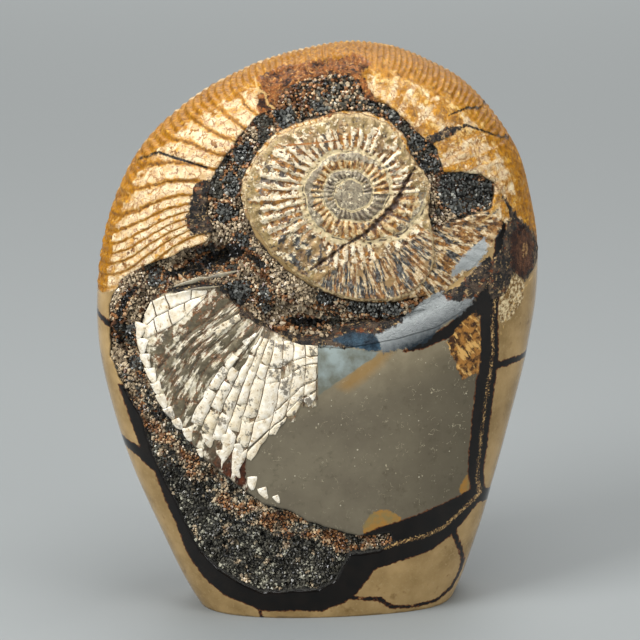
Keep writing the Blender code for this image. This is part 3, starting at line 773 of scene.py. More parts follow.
def strayed(m, value, noise, span):
    """A value that strays with a noise, over so much in all."""
    return add(m, "Math", noise, span, add(m, "Math", value, -0.5 * span), operation="MULTIPLY_ADD")


def inside_mark(m, name, soft, waver=0.0, noise=None):
    """1 inside a mark and 0 outside it: its edge is so many mm soft and wavers by so many mm."""
    value = add(m, "Attribute", attribute_name=name, out="Fac")
    if waver:
        value = strayed(m, value, noise, 4 * waver)
    return add(m, "MapRange", value, -soft, soft)


def stripe(m, value, low, high):
    """From 0 to 1 as the distance of a whole-and-part number from its half grows from low to high."""
    part = add(m, "Math", value, operation="FRACT")
    away = add(m, "Math", add(m, "Math", part, -0.5), operation="ABSOLUTE")
    return add(m, "MapRange", away, low, high)


def fan_colour(m, place, swing, reach):
    """Crushed ribs of the last whorl: streaks of cream shell, brown stain, and steel-grey calcite."""
    wide = streaks(m, swing, reach, 32, 3.0, 11)
    fine = streaks(m, swing, reach, 32, 1.1, 5, 4.0)
    dark = mottled(m, place, "#241F1B", ("#6A6A66", 1.0, 0.42, 0.6))
    brown = mottled(m, place, "#4A2C16", ("#B07C40", 1.3, 0.4, 0.6, 5.0, 0.75))
    cream = mottled(m, place, "#B68E58", ("#EEDCB6", 1.0, 0.38, 0.60, 5.0, 0.7))
    mixed = overlaid(m, dark, (wide, 0.46, 0.53, brown), (fine, 0.49, 0.56, cream))
    mixed = mottled(m, place, mixed, ("#2C2019", 1.2, 0.60, 0.68, 5.0, 0.75))
    return mottled(m, place, mixed, ("#9C7C4E", 4.0, 0.57, 0.65, 5.0))


# Ground and polished limestone, shell and calcite: hard, close-grained and glossy, with each mineral's
# own tone, and duller where crystals or broken shell are open.
SHELL_ROUGHNESS, OPEN_ROUGHNESS = 0.33, 0.5
SHELL_GRAIN, OPEN_GRAIN, POLISH_GRAIN = 0.25, 0.8, 0.006  # mm
polished_stone, stone_shader = new_material("polished limestone, shell and calcite", 0.2, 1.56, 0.25)
m = polished_stone
place = place_in_mm(m)
swing, reach_out = polar_place(m, place)
waver_noise = add(m, "TexNoise", place, 1 / 1.4, 4.0, 0.6)
fine_noise = add(m, "TexNoise", place, 1 / 0.5, 3.0, 0.6)

# Tan rind: iron-stained limestone, with faint clouds and a fine grain.
rind = mottled(
    m, place, "#8C7247", ("#AE9162", 14), ("#B39A6E", 0.9, 0.56, 0.78, 4.0, 0.7),
    ("#74572F", 4.5, 0.60, 0.76),
)
# Grey-brown mudstone, with pale flecks of shell about 0.4 mm across.
mud = mottled(
    m, place, "#686050", ("#746C5A", 13), ("#575040", 3.0, 0.56, 0.80, 5.0, 0.7),
    ("#857D69", 1.2, 0.60, 0.84, 5.0, 0.7),
)
# The mudstone paler towards its upper edge: a painted highlight, the lamps' glare where the polished face
# rounds over.
glare_towards_top = add(m, "Math", add(m, "Attribute", attribute_name="glare_towards_top", out="Fac"), 0.8, operation="MULTIPLY")
mud = add(m, "MixRGB", glare_towards_top, mud, mottled(m, place, "#918469", ("#B3A586", 5.0)))
duller = add(m, "MapRange", add(m, "SeparateXYZ", place, out=0), 12.0, 46.0, 0.0, 0.55)
mud = add(m, "MixRGB", duller, mud, "#4F4735")
cell = add(m, "TexVoronoi", place, 1 / 2.4, out="Color")
from_cell = add(m, "TexVoronoi", place, 1 / 2.4, out="Distance")
fleck_size = add(m, "Math", add(m, "SeparateColor", cell, out=0), 0.12, operation="MULTIPLY")
fleck = add(m, "MapRange", add(m, "Math", fleck_size, from_cell, operation="SUBTRACT"), 0.0, 0.02)
mud = add(m, "MixRGB", fleck, mud, "#B9B09A")
# Hair-fine curved marks where thin shells were cut across: short lengths of a noise's contour lines.
contour = add(m, "Math", add(m, "TexNoise", place, 1 / 2.6, 2.0), -0.5)
contour = add(m, "MapRange", add(m, "Math", contour, operation="ABSOLUTE"), 0.006, 0.003)
kept = add(m, "MapRange", add(m, "TexNoise", place, 1 / 3.1, 3.0, 0.7), 0.57, 0.59)
mud = add(m, "MixRGB", add(m, "Math", contour, kept, operation="MULTIPLY"), mud, "#B5AA8E")
wedge = mottled(m, place, "#6A6C60", ("#8F9A97", 6.0))
ochre = mottled(m, place, "#A8762F", ("#857449", 3.0))
# Black calcite, red-brown where it meets the stone, with a paler seam where its two sides met.
black = mottled(m, place, "#060403", ("#130D09", 5))
fringe = mottled(m, place, "#35180A", ("#6E3D19", 1.2))
seam = mottled(m, place, "#C7A46C", ("#4A2E18", 0.8, 0.42, 0.56))

# The net of healed cracks on the back: cells about 46 mm across, grey within a tan rind.
CELL = 46.0
CELL_BEND = 26.0
NET_BEGINS, NET_FULL = 29.0, 42.0  # mm behind the edge, with part of a wander on it
NET_WANDER = 36.0
bent = add(m, "TexNoise", place, 1 / 24, 2.0, out="Color")
bent = add(m, "VectorMath", bent, (CELL_BEND,) * 3, place, operation="MULTIPLY_ADD")
from_crack = add(m, "TexVoronoi", bent, 1 / CELL, feature="DISTANCE_TO_EDGE", Randomness=0.8)
crack_width = add(m, "MapRange", add(m, "TexNoise", place, 1 / 9.0, 3.0), 0.3, 0.7, 0.2, 2.6)
from_crack = add(m, "Math", from_crack, CELL, operation="MULTIPLY")
from_crack = add(m, "Math", from_crack, crack_width, operation="SUBTRACT")
bent_back = add(m, "Attribute", attribute_name="behind", out="Fac")
back_noise = add(m, "TexNoise", place, 1 / 12.0, 4.0)
bent_back = add(m, "Math", back_noise, NET_WANDER, bent_back, operation="MULTIPLY_ADD")
at_back = add(m, "MapRange", bent_back, NET_BEGINS, NET_BEGINS + 1)
ragged = add(m, "Math", waver_noise, 3.0, from_crack, operation="MULTIPLY_ADD")
taper = add(m, "MapRange", bent_back, NET_BEGINS, NET_FULL, 3.2, 0.0)
from_crack = add(m, "Math", from_crack, taper)
surface = rind
for value, low, high, over in (
    (ragged, 8.0, 9.0, mud), (from_crack, 0.6, 0.2, fringe), (from_crack, 0.1, -0.1, black),
    (from_crack, -1.3, -1.6, seam),
):
    share = add(m, "Math", add(m, "MapRange", value, low, high), at_back, operation="MULTIPLY")
    surface = add(m, "MixRGB", share, surface, over)

surface = add(m, "MixRGB", inside_mark(m, "mudstone", 0.15, 0.15, waver_noise), surface, mud)
on_ochre = inside_mark(m, "ochre", 0.2, 0.6, waver_noise)
on_mud = inside_mark(m, "mudstone", 0.2)
surface = add(m, "MixRGB", add(m, "Math", on_ochre, on_mud, operation="MULTIPLY"), surface, ochre)
gold_share = add(m, "Math", inside_mark(m, "gold_wedge", 1.4, 0.3, waver_noise), 0.7, operation="MULTIPLY")
surface = add(m, "MixRGB", gold_share, surface, "#94713A")
surface = add(m, "MixRGB", inside_mark(m, "grey_wedge", 0.2, 0.3, waver_noise), surface, wedge)
vein_value = strayed(m, add(m, "Attribute", attribute_name="vein", out="Fac"), waver_noise, 1.6)
surface = overlaid(m, surface, (vein_value, -0.40, -0.15, fringe), (vein_value, -0.10, 0.1, black))

# The body chamber under its broken plates: grey-brown stone, streaked with what is left of the shell,
# rust-brown in the furrows and all dark towards its foot.
rib_number = add(m, "Attribute", attribute_name="chamber_rib", out="Fac")
furrow = stripe(m, rib_number, 0.38, 0.47)
over_ribs = add(m, "Math", rib_number, 1.5, operation="MULTIPLY")
along_ribs = add(m, "Math", reach_out, 1 / 8.0, operation="MULTIPLY")
shreds = add(m, "TexNoise", add(m, "CombineXYZ", over_ribs, along_ribs, 0.0), 1.0, 5.0, 0.7)
bed = mottled(m, place, "#4E4637", ("#7A7059", 2.6))
under_plates = mottled(m, place, "#6E5F48", ("#A8977A", 1.5))
bed = overlaid(m, bed, (rib_number, 9.0, 11.0, under_plates))
rust_patch = add(m, "MapRange", add(m, "TexNoise", place, 1 / 5.0, 3.0), 0.48, 0.56)
rust_share = add(m, "Math", add(m, "MapRange", shreds, 0.475, 0.500), rust_patch, operation="MULTIPLY")
bed = add(m, "MixRGB", rust_share, bed, mottled(m, place, "#4A2E1C", ("#8E5E38", 1.0)))
shred = mottled(m, place, "#BFB192", ("#EFE6D0", 1.4))
bed = overlaid(m, bed, (shreds, 0.51, 0.56, shred))
bed = mottled(m, place, bed, ("#5E564A", 3.4, 0.60, 0.66, 5.0, 0.7))
furrow = add(m, "Math", furrow, add(m, "MapRange", shreds, 0.60, 0.50), operation="MULTIPLY")
bed = add(m, "MixRGB", furrow, bed, mottled(m, place, "#32271E", ("#7A6248", 1.0)))
foot = add(m, "Attribute", attribute_name="chamber_foot", out="Fac")
foot_share = add(m, "Math", add(m, "MapRange", shreds, 0.62, 0.50), foot, operation="MULTIPLY")
bed = add(m, "MixRGB", foot_share, bed, mottled(m, place, "#1E0F08", ("#5A2C14", 2.0)))

# The outer whorl: shell in growth bands, cream between orange seams, and all orange towards the rim.
band_noise = add(m, "TexNoise", place, 1 / 6.0, 3.0)
band_here = strayed(m, add(m, "Attribute", attribute_name="band", out="Fac"), band_noise, 0.5)
band_chance = add(m, "TexWhiteNoise", add(m, "Math", band_here, operation="FLOOR"), noise_dimensions="1D")
blotch = add(m, "TexNoise", place, 1 / 3.6, 5.0, 0.65)
crackle = add(m, "TexNoise", place, 1 / 1.1, 5.0, 0.75)
cream = mottled(
    m, place, "#C8A470", ("#EEDCB4", 2.2, 0.36, 0.60, 5.0), ("#C8943E", 4.5, 0.54, 0.64, 5.0, 0.7),
)
cream = overlaid(m, cream, (crackle, 0.50, 0.61, "#9E7454"))
cream = mottled(m, place, cream, ("#6E4A30", 1.0, 0.60, 0.68, 5.0, 0.75))
orange = mottled(
    m, place, "#8C5A0E", ("#C68A20", 1.6, 0.36, 0.62, 5.0, 0.7), ("#DDB974", 2.6, 0.50, 0.62, 5.0, 0.7),
    ("#7A5428", 4.0, 0.56, 0.66, 5.0),
)
brown = mottled(m, place, "#553416", ("#9A6A34", 1.0))
cream_side = add(m, "Attribute", attribute_name="creamy", out="Fac")
blotched = add(m, "Math", blotch, 0.9, operation="MULTIPLY")
creamy = add(m, "Math", cream_side, 0.30, blotched, operation="MULTIPLY_ADD")
creamy = add(m, "Math", band_chance, 0.16, creamy, operation="MULTIPLY_ADD")
rim = add(m, "Attribute", attribute_name="rim", out="Fac")
rim = add(m, "Math", cream_side, 0.6, rim, operation="MULTIPLY_ADD")
creamy = add(m, "Math", creamy, add(m, "MapRange", rim, 5.0, 1.0), operation="SUBTRACT")
creamy = add(m, "Math", creamy, add(m, "MapRange", bent_back, 19.0, 32.0, 0.0, 0.15), operation="SUBTRACT")
shell_colour = overlaid(m, orange, (creamy, 0.48, 0.56, cream), (blotch, 0.40, 0.36, brown))
# Fine cracks part the cream shell into plates about 5 mm across.
cracked = add(m, "TexNoise", place, 1 / 5.0, 3.0, out="Color")
cracked = add(m, "VectorMath", cracked, (5.0,) * 3, place, operation="MULTIPLY_ADD")
cracked = add(m, "TexVoronoi", cracked, 1 / 5.2, feature="DISTANCE_TO_EDGE")
shell_colour = overlaid(m, shell_colour, (cracked, 0.025, 0.010, "#9A7040"))
ragged_band = add(m, "Math", waver_noise, 0.35, add(m, "Math", band_here, -0.17), operation="MULTIPLY_ADD")
in_furrow = mottled(m, place, "#5E3C14", ("#A87024", 1.5))
for low, high, least, tone in ((0.31, 0.41, 0.30, orange), (0.41, 0.47, 0.15, in_furrow)):
    share = add(m, "Math", cream_side, 1 - least, least, operation="MULTIPLY_ADD")
    share = add(m, "Math", stripe(m, ragged_band, low, high), share, operation="MULTIPLY")
    shell_colour = add(m, "MixRGB", share, shell_colour, tone)
rib_angle = add(m, "Math", swing, 360 / RIM_RIB_PITCH, operation="MULTIPLY")
rib_wave = add(m, "Math", rib_angle, operation="COSINE")
rim_gold = mottled(
    m, place, "#704404", ("#BA7E10", 2.0, 0.36, 0.62, 5.0, 0.7), ("#D09A34", 2.8, 0.56, 0.64, 5.0, 0.7),
    ("#5E3A18", 2.0, 0.60, 0.68, 5.0, 0.75),
)
rib_shade = add(m, "Math", add(m, "MapRange", rib_wave, -0.4, -1.0), 0.4, operation="MULTIPLY")
rim_gold = add(m, "MixRGB", rib_shade, rim_gold, "#7C4C0C")
rim = strayed(m, rim, blotch, 16.0)
shell_colour = overlaid(m, shell_colour, (rim, 5.0, 3.0, rim_gold))
for name, tone, soft, waver, noise in (
    ("vein_seam", seam, 0.12, 0.8, fine_noise),
    ("chamber", bed, 0.15, 0.6, waver_noise),
    ("shell", shell_colour, 0.2, 0.5, waver_noise),
):
    surface = add(m, "MixRGB", inside_mark(m, name, soft, waver, noise), surface, tone)

fan_here = inside_mark(m, "fan", 0.2, 0.8, waver_noise)
surface = add(m, "MixRGB", fan_here, surface, fan_colour(m, place, swing, reach_out))
feather = streaks(m, swing, reach_out, 60, 1.6, 5, 4.0)
feather_colour = mottled(m, place, "#3A2210", ("#A87434", 1.8, 0.42, 0.58, 5.0))
feather_colour = overlaid(m, feather_colour, (feather, 0.53, 0.60, "#D6A860"))
speckled = mottled(
    m, place, "#77592F", ("#DCC79C", 1.1, 0.42, 0.58, 5.0), ("#3C2E20", 1.3, 0.58, 0.66, 5.0, 0.7),
)

# Dark granular calcite, with rust in patches.
crumb = mottled(
    m, place, "#0E0C0A", ("#2C2927", 0.9, 0.38, 0.62, 5.0), ("#57483A", 3.0, 0.50, 0.58, 5.0, 0.7),
    ("#7A4420", 2.4, 0.57, 0.63, 5.0, 0.7), ("#C0A070", 1.3, 0.56, 0.64, 5.0, 0.75),
)
stain = mottled(m, place, "#0E0705", ("#452412", 2.6), ("#8A5428", 1.6, 0.60, 0.68, 5.0))
# Within the stain a small knot, red-brown round a sliver of tan.
knot = strayed(m, add(m, "Attribute", attribute_name="knot", out="Fac"), waver_noise, 0.7)
red_brown = mottled(m, place, "#361E10", ("#684228", 1.4))
tan_sliver = mottled(m, place, "#5E3A20", ("#B08A58", 1.0, 0.42, 0.58))
stain = overlaid(m, stain, (knot, 0.10, 0.22, red_brown), (knot, 0.66, 0.76, tan_sliver))
# Painted reflection: a pale blue-grey glare of the lamps on the black calcite, fading across the patch to
# the calcite's own dark blue-black.
glare_fade = add(m, "Attribute", attribute_name="glare_fade", out="Fac")
glare_fade = add(m, "Math", waver_noise, 4.0, glare_fade, operation="MULTIPLY_ADD")
steel = overlaid(m, "#A9ADAC", (glare_fade, -1.0, 6.5, "#1E272E"))
steel = mottled(m, place, steel, ("#14110E", 1.2, 0.63, 0.67, 5.0, 0.75))
blue = mottled(m, place, "#121C26", ("#3C5464", 3.0))
rusty = mottled(
    m, place, "#3E2010", ("#9A5C28", 1.6, 0.38, 0.58, 5.0, 0.7), ("#D09A58", 1.0, 0.53, 0.60, 5.0, 0.75),
    ("#2A160B", 4.0, 0.55, 0.60, 5.0, 0.75),
)
patch_dark = strayed(m, add(m, "Attribute", attribute_name="patch_dark", out="Fac"), waver_noise, 2.4)
charred = mottled(m, place, "#0D0907", ("#5A3A1E", 0.9, 0.46, 0.66, 5.0))
rusty = overlaid(m, rusty, (patch_dark, 0.25, 0.5, charred))
low_down = add(m, "MapRange", add(m, "SeparateXYZ", place, out=2), 60.0, 45.0)
bed_under = add(m, "MixRGB", low_down, crumb, mottled(m, place, "#0E0C0A", ("#3A3933", 0.9)))
for name, tone, soft, waver, noise in (
    ("feather", feather_colour, 0.2, 0.7, waver_noise),
    ("speckled", speckled, 0.2, 0.4, waver_noise),
    ("granular", crumb, 0.2, 0.9, waver_noise),
    ("brown_stain", stain, 0.3, 0.8, waver_noise),
    ("steel", steel, 0.3, 0.9, waver_noise),
    ("deep_blue", blue, 0.3, 0.6, waver_noise),
    ("top_patch", rusty, 0.2, 2.4, band_noise),
    ("hollow", bed_under, 0.2, 0.2, waver_noise),
    ("pale_line", "#C9A468", 0.12, 0.3, fine_noise),
    ("dark_line", "#120C08", 0.1, 0.3, fine_noise),
):
    surface = add(m, "MixRGB", inside_mark(m, name, soft, waver, noise), surface, tone)
m.node_tree.links.new(surface, stone_shader.inputs["Base Color"])

# The solid stone is the glossiest; shell is duller and a little rough, and open crystals most of all.
open_texture = inside_mark(m, "hollow", 0.2)
for name in ("granular", "top_patch"):
    open_texture = add(m, "Math", open_texture, inside_mark(m, name, 0.2), operation="MAXIMUM")
on_shell, on_chamber = inside_mark(m, "shell", 0.5), inside_mark(m, "chamber", 0.5)
shell_here = add(m, "Math", on_shell, on_chamber, operation="MAXIMUM")
shell_here = add(m, "Math", shell_here, fan_here, operation="MAXIMUM")
gloss = add(m, "Math", band_noise, 0.10, 0.11, operation="MULTIPLY_ADD")
gloss = add(m, "Mix", shell_here, gloss, SHELL_ROUGHNESS)
gloss = add(m, "Mix", open_texture, gloss, OPEN_ROUGHNESS)
m.node_tree.links.new(gloss, stone_shader.inputs["Roughness"])
height = add(m, "Math", add(m, "Math", waver_noise, fine_noise), shell_here, operation="MULTIPLY")
height = add(m, "Math", height, SHELL_GRAIN, operation="MULTIPLY")
crumbly = add(m, "Math", fine_noise, open_texture, operation="MULTIPLY")
height = add(m, "Math", crumbly, OPEN_GRAIN, height, operation="MULTIPLY_ADD")
height = add(m, "Math", fine_noise, POLISH_GRAIN, height, operation="MULTIPLY_ADD")
bump = add(m, "Bump", Height=height, Strength=1.0, Distance=MM)
m.node_tree.links.new(bump, stone_shader.inputs["Normal"])

nodule.data.materials.append(polished_stone)
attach(nodule, "root")
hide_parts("nodule")

# ------------------------------------------------------------------ the inner whorls
# The shell's inner coil, which stands over the open crack with a free edge all round its left and top.
# Cream ribs of shell with brown and grey calcite between them, sawn through and polished low.

COIL_COLUMNS = 640
COIL_RINGS = 88
COIL_EDGE_DEPTHS = (0.25, 1.0, 2.2, 3.4)
COIL_THICKNESS = 4.0
COIL_CHART = 72  # mm from side to side of the chart
WALL_SPREAD = 26.0  # the wall's depths as shares of this lie outside the rim on the chart
# How far the seam between the whorls is from the centre, in mm, at each quarter turn outwards.
COIL_SEAM = [4.4, 4.6, 4.8, 5.2, 7.2, 7.4, 8.0, 8.2, 12.4, 13.2, 13.4, 13.6, 24.5, 26.0, 33.0, 36.0, 44.0]
RIBS_OF_WHORL = (0, 30, 34, 46)  # of the core and each ring outwards
COIL_CRACK = [
    (30.5, 148, 0.2), (28.5, 144.5, 0.4), (26.2, 140.9, 0.6), (23.2, 134.3, 0.8), (17.3, 128.3, 0.7),
    (12.8, 124.8, 0.45), (8.3, 122.4, 0.3), (3, 118.5, 0.4), (-3, 114.5, 0.2), (-8, 112.5, 0.1),
]
COIL_CRACK_DEPTH = 0.9
COIL_THREAD = [(-11, 153.0, 0.15), (-4, 153.4, 0.25), (3, 154.0, 0.2), (8, 154.8, 0.15)]
# Where the ribs are worn away or overgrown: (x, z, radius).
WORN = [
    (-9, 119, 5), (4, 112, 6), (29, 118, 5), (8, 158, 4), (31, 141, 4), (-17, 149, 4), (20, 121, 3),
    (19, 153, 4), (-2, 154, 3), (25, 147, 3),
]
RIB_LAG = 1.2  # how far a rib's phase falls behind across its whorl, in radians


def whorl_of(turn, reach):
    """Which whorl a point is in, and how far across it: 0 to 1 in the first ring, 1 to 2 in the next."""
    quarters = np.arange(len(COIL_SEAM)) * 0.5 * math.pi
    seams = np.array([np.interp(turn + k * math.tau, quarters, COIL_SEAM) for k in range(4)])
    whorl = reach / seams[0] - 1
    for k in range(3):
        across = (reach - seams[k]) / (seams[k + 1] - seams[k])
        whorl = np.where(reach >= seams[k], k + np.clip(across, 0, 1), whorl)
    return whorl


def worn(x, z):
    """How worn the coil is: above 0 there is little left of its ribs."""
    place = in_front(x, z)
    spots = np.maximum.reduce([1 - np.hypot(x - cx, z - cz) / radius for cx, cz, radius in WORN])
    return spots + 0.45 * lumps(place, 3.5, 26) + 0.25 * lumps(place, 1.6, 27)


def seam_waver(place):
    """How far the seam between the whorls strays from its smooth spiral, in mm."""
    return 0.5 * lumps(place, 4.0, 44) + 0.3 * lumps(place, 1.7, 45)


def coil_relief(turn, reach, whorl, place, wear):
    """Height of the coil over the polished face, in mm."""
    number = np.clip(np.floor(whorl).astype(int), -1, 2)
    across = whorl - number
    ribs = np.array(RIBS_OF_WHORL)[number + 1]
    size = np.clip(reach / 24, 0, 1) ** 0.6
    bent = turn + 0.045 * lumps(place, 4.0, 21) + 0.02 * lumps(place, 1.5, 28)
    wave = np.cos(ribs * bent - RIB_LAG * across) * (ribs > 0)
    ribbed = smooth(0.02, 0.2, across) * smooth(0.85, 0.6, across) * smooth(0.5, 0.0, wear)
    ribbed = ribbed * np.where(number == 0, 0.35, 1.0)
    return size * (
        0.9 * np.sin(math.pi * across) ** 0.8 + 0.30 * wave * ribbed
        + 0.22 * lumps(place, 1.7, 22) + 0.16 * lumps(place, 0.8, 23) - 0.15
    )


column_turn = np.arange(COIL_COLUMNS) / COIL_COLUMNS * math.tau
rim_reach = closed_reach(COIL_OUTLINE, column_turn)
rim_place = in_front(np.cos(column_turn) * rim_reach, np.sin(column_turn) * rim_reach)
rim_reach += 0.45 * lumps(rim_place, 3.0, 24) + 0.3 * lumps(rim_place, 1.2, 25)
shares = np.arange(1, COIL_RINGS + 1) / COIL_RINGS
turn = np.tile(column_turn, COIL_RINGS)
reach = (shares[:, None] * rim_reach[None, :]).ravel()
x, z = AMMONITE[0] + reach * np.cos(turn), AMMONITE[1] + reach * np.sin(turn)
place = in_front(x, z)
relief = coil_relief(turn, reach, whorl_of(turn, reach + seam_waver(place)), place, worn(x, z))
relief = np.where(inward(x, z, FAN) > 0, 0.45 + 0.35 * fan_wave(turn, reach), relief)
relief -= COIL_CRACK_DEPTH * smooth(-0.3, 0.3, along(x, z, COIL_CRACK) + 0.4 * lumps(place, 1.5, 29))
relief *= np.repeat(smooth(1.003, 0.975, shares), COIL_COLUMNS)
coil_points = [np.stack([x, front_face(x, z) - relief, z], 1)]
rim_x, rim_z = x[-COIL_COLUMNS:], z[-COIL_COLUMNS:]
for depth in COIL_EDGE_DEPTHS:
    slope = 1 + (0.3 - 0.25 * depth) / rim_reach
    wall_x = AMMONITE[0] + (rim_x - AMMONITE[0]) * slope
    wall_z = AMMONITE[1] + (rim_z - AMMONITE[1]) * slope
    coil_points.append(np.stack([wall_x, front_face(rim_x, rim_z) + depth, wall_z], 1))
centre = np.array([[AMMONITE[0], front_face(*map(np.array, AMMONITE)) - 0.1, AMMONITE[1]]])
coil_points = np.concatenate([*coil_points, centre, centre + (0, COIL_THICKNESS, 0)])
loops = COIL_RINGS + len(COIL_EDGE_DEPTHS)
row_start = np.arange(loops - 1)[:, None] * COIL_COLUMNS
here = row_start + np.arange(COIL_COLUMNS)
beside = row_start + (np.arange(COIL_COLUMNS) + 1) % COIL_COLUMNS
tip = loops * COIL_COLUMNS
coil_triangles = np.concatenate([
    np.stack([np.full(COIL_COLUMNS, tip), here[0], beside[0]], 1),
    np.stack([here, here + COIL_COLUMNS, beside + COIL_COLUMNS], -1).reshape(-1, 3),
    np.stack([here, beside + COIL_COLUMNS, beside], -1).reshape(-1, 3),
    np.stack([np.full(COIL_COLUMNS, tip + 1), beside[-1] + COIL_COLUMNS, here[-1] + COIL_COLUMNS], 1),
])
x, y, z = coil_points.T
_, from_centre = about_ammonite(x, z)
outward = np.ones(len(x))
outward[COIL_RINGS * COIL_COLUMNS : tip] += np.repeat(COIL_EDGE_DEPTHS, COIL_COLUMNS) / WALL_SPREAD
below = np.zeros(len(x))
below[COIL_RINGS * COIL_COLUMNS : tip] = 1
below[-1] = 1
coil_chart = 0.5 + np.stack([(x - AMMONITE[0]) * outward, (z - AMMONITE[1]) * outward], 1) / COIL_CHART
inner_whorls = mesh_object(
    "inner_whorls", coil_points, coil_triangles, {
        "fan": inward(x, z, FAN),
        "crack": along(x, z, COIL_CRACK),
        "thread": along(x, z, COIL_THREAD),
        "coil_edge": closed_reach(COIL_OUTLINE, about_ammonite(x, z)[0]) - from_centre,
        "worn": worn(x, z),
        "crushed": 1 - np.hypot((x + 5) / 13, (z - 121) / 10),
        "below": below,
    }, coil_chart[coil_triangles],
)

# Turn and whorl are kept at the triangles' corners, so that they don't jump where the turn begins.
column = coil_triangles % COIL_COLUMNS
of_others = column.min(axis=1, initial=COIL_COLUMNS, where=coil_triangles < tip, keepdims=True)
column = np.where(coil_triangles >= tip, of_others, column)
wraps = (column.max(axis=1) - column.min(axis=1) > COIL_COLUMNS // 2)[:, None] & (column == 0)
corner_turn = ((column + np.where(wraps, COIL_COLUMNS, 0)) / COIL_COLUMNS * math.tau).ravel()
wavered_reach = from_centre + seam_waver(in_front(x, z))
corner_whorl = whorl_of(corner_turn, wavered_reach[coil_triangles].ravel())
for field, values in {"coil_turn": corner_turn, "coil_whorl": corner_whorl}.items():
    stored = inner_whorls.data.attributes.new(field, "FLOAT", "CORNER")
    stored.data.foreach_set("value", values.astype(np.float32))

# Sawn fossil shell: cream where it is whole, with amber, brown and grey calcite in the chambers.
coil_shell, coil_shader = new_material("sawn fossil shell with amber calcite", 0.32, 1.56)
m = coil_shell
place = place_in_mm(m)
swing, reach_out = polar_place(m, place)
coil_turn = add(m, "Attribute", attribute_name="coil_turn", out="Fac")
coil_whorl = add(m, "Attribute", attribute_name="coil_whorl", out="Fac")
wear = add(m, "Attribute", attribute_name="worn", out="Fac")
waver_noise = add(m, "TexNoise", place, 1 / 1.2, 4.0, 0.6)
fine_noise = add(m, "TexNoise", place, 1 / 0.45, 3.0, 0.6)
broad_noise = add(m, "TexNoise", place, 1 / 3.2, 4.0, 0.6)
number = add(m, "Math", coil_whorl, operation="FLOOR")
across = add(m, "Math", coil_whorl, operation="FRACT")
bent_turn = strayed(m, coil_turn, broad_noise, 0.20)
bent_turn = strayed(m, bent_turn, waver_noise, 0.08)
lag = add(m, "Math", across, -RIB_LAG, operation="MULTIPLY")
rib_wave = 0.0
for k, count in enumerate(RIBS_OF_WHORL):
    phase = add(m, "Math", bent_turn, float(count), lag, operation="MULTIPLY_ADD")
    wave = add(m, "Math", phase, operation="COSINE")
    in_ring = add(m, "Math", number, k - 1.0, 0.1, operation="COMPARE")
    rib_wave = add(m, "Math", wave, in_ring, rib_wave, operation="MULTIPLY_ADD")
# The ribs break up where the shell is worn, and are broad in one place and thin in the next.
tuned = strayed(m, rib_wave, waver_noise, 2.6)
tuned = add(m, "Math", broad_noise, 4.2, add(m, "Math", tuned, -1.95), operation="MULTIPLY_ADD")
cream = mottled(m, place, "#CBAA78", ("#F6E8CA", 1.2, 0.34, 0.58, 5.0))
amber = mottled(m, place, "#4C2A10", ("#C08430", 1.6, 0.38, 0.62, 5.0))
smoky = mottled(m, place, "#2C2620", ("#77695A", 1.2, 0.38, 0.62, 5.0))
chambers = mottled(m, place, amber, (smoky, 4.0, 0.52, 0.60))
# Small round the middle, the ribs themselves are amber rather than cream.
inner_ribs = mottled(m, place, "#A87C44", ("#E6CC98", 1.6, 0.40, 0.58, 5.0))
rib_colour = overlaid(m, cream, (number, 1.6, 1.4, inner_ribs))
ribbed = overlaid(m, chambers, (tuned, -0.25, 0.25, rib_colour))
crumbly = mottled(m, place, "#6E6352", ("#B9AB8E", 0.8, 0.38, 0.62, 5.0), ("#8E8068", 2.5, 0.5, 0.6, 5.0))
# The first ring is grey like the core, its fine ribs only a shade darker.
first_ring = add(m, "MapRange", add(m, "Math", number, operation="ABSOLUTE"), 0.6, 0.4, 0.0, 0.92)
faint_ribs = overlaid(m, "#5A5040", (tuned, -0.6, 0.5, crumbly))
ribbed = add(m, "MixRGB", first_ring, ribbed, faint_ribs)
olive = mottled(m, place, "#80693E", ("#AE945F", 3.0), ("#D6BE8E", 1.3, 0.56, 0.66, 5.0, 0.7))
tan = mottled(m, place, "#6E522F", ("#B3925F", 2.2, 0.38, 0.6, 5.0))
outer_margin = overlaid(m, crumbly, (number, 1.4, 1.6, olive))
ragged = strayed(m, across, broad_noise, 0.9)
# Beside the core the grey grains fill only the upper left half of their ring.
turned_away = add(m, "Math", add(m, "Math", swing, 0.9), operation="ABSOLUTE")
turned_away = add(m, "MapRange", turned_away, 1.3, 1.9, 0.0, 0.35)
turned_away = add(m, "Math", turned_away, add(m, "MapRange", number, 1.6, 1.4), operation="MULTIPLY")
ragged = add(m, "Math", ragged, turned_away, operation="SUBTRACT")
inner_margin = add(m, "MapRange", ragged, 0.55, 0.62)
inner_margin = add(m, "Math", inner_margin, add(m, "MapRange", number, 1.6, 1.4), operation="MULTIPLY")
coil_edge = add(m, "Attribute", attribute_name="coil_edge", out="Fac")
from_edge = strayed(m, coil_edge, broad_noise, 16.0)
margin = add(m, "Math", add(m, "MapRange", from_edge, 3.4, 2.8), inner_margin, operation="MAXIMUM")
surface = add(m, "MixRGB", margin, ribbed, outer_margin)
surface = overlaid(m, surface, (number, -0.4, -0.6, crumbly), (wear, 0.35, 0.5, tan))
surface = mottled(m, place, surface, (tan, 3.4, 0.59, 0.64, 5.0, 0.7))
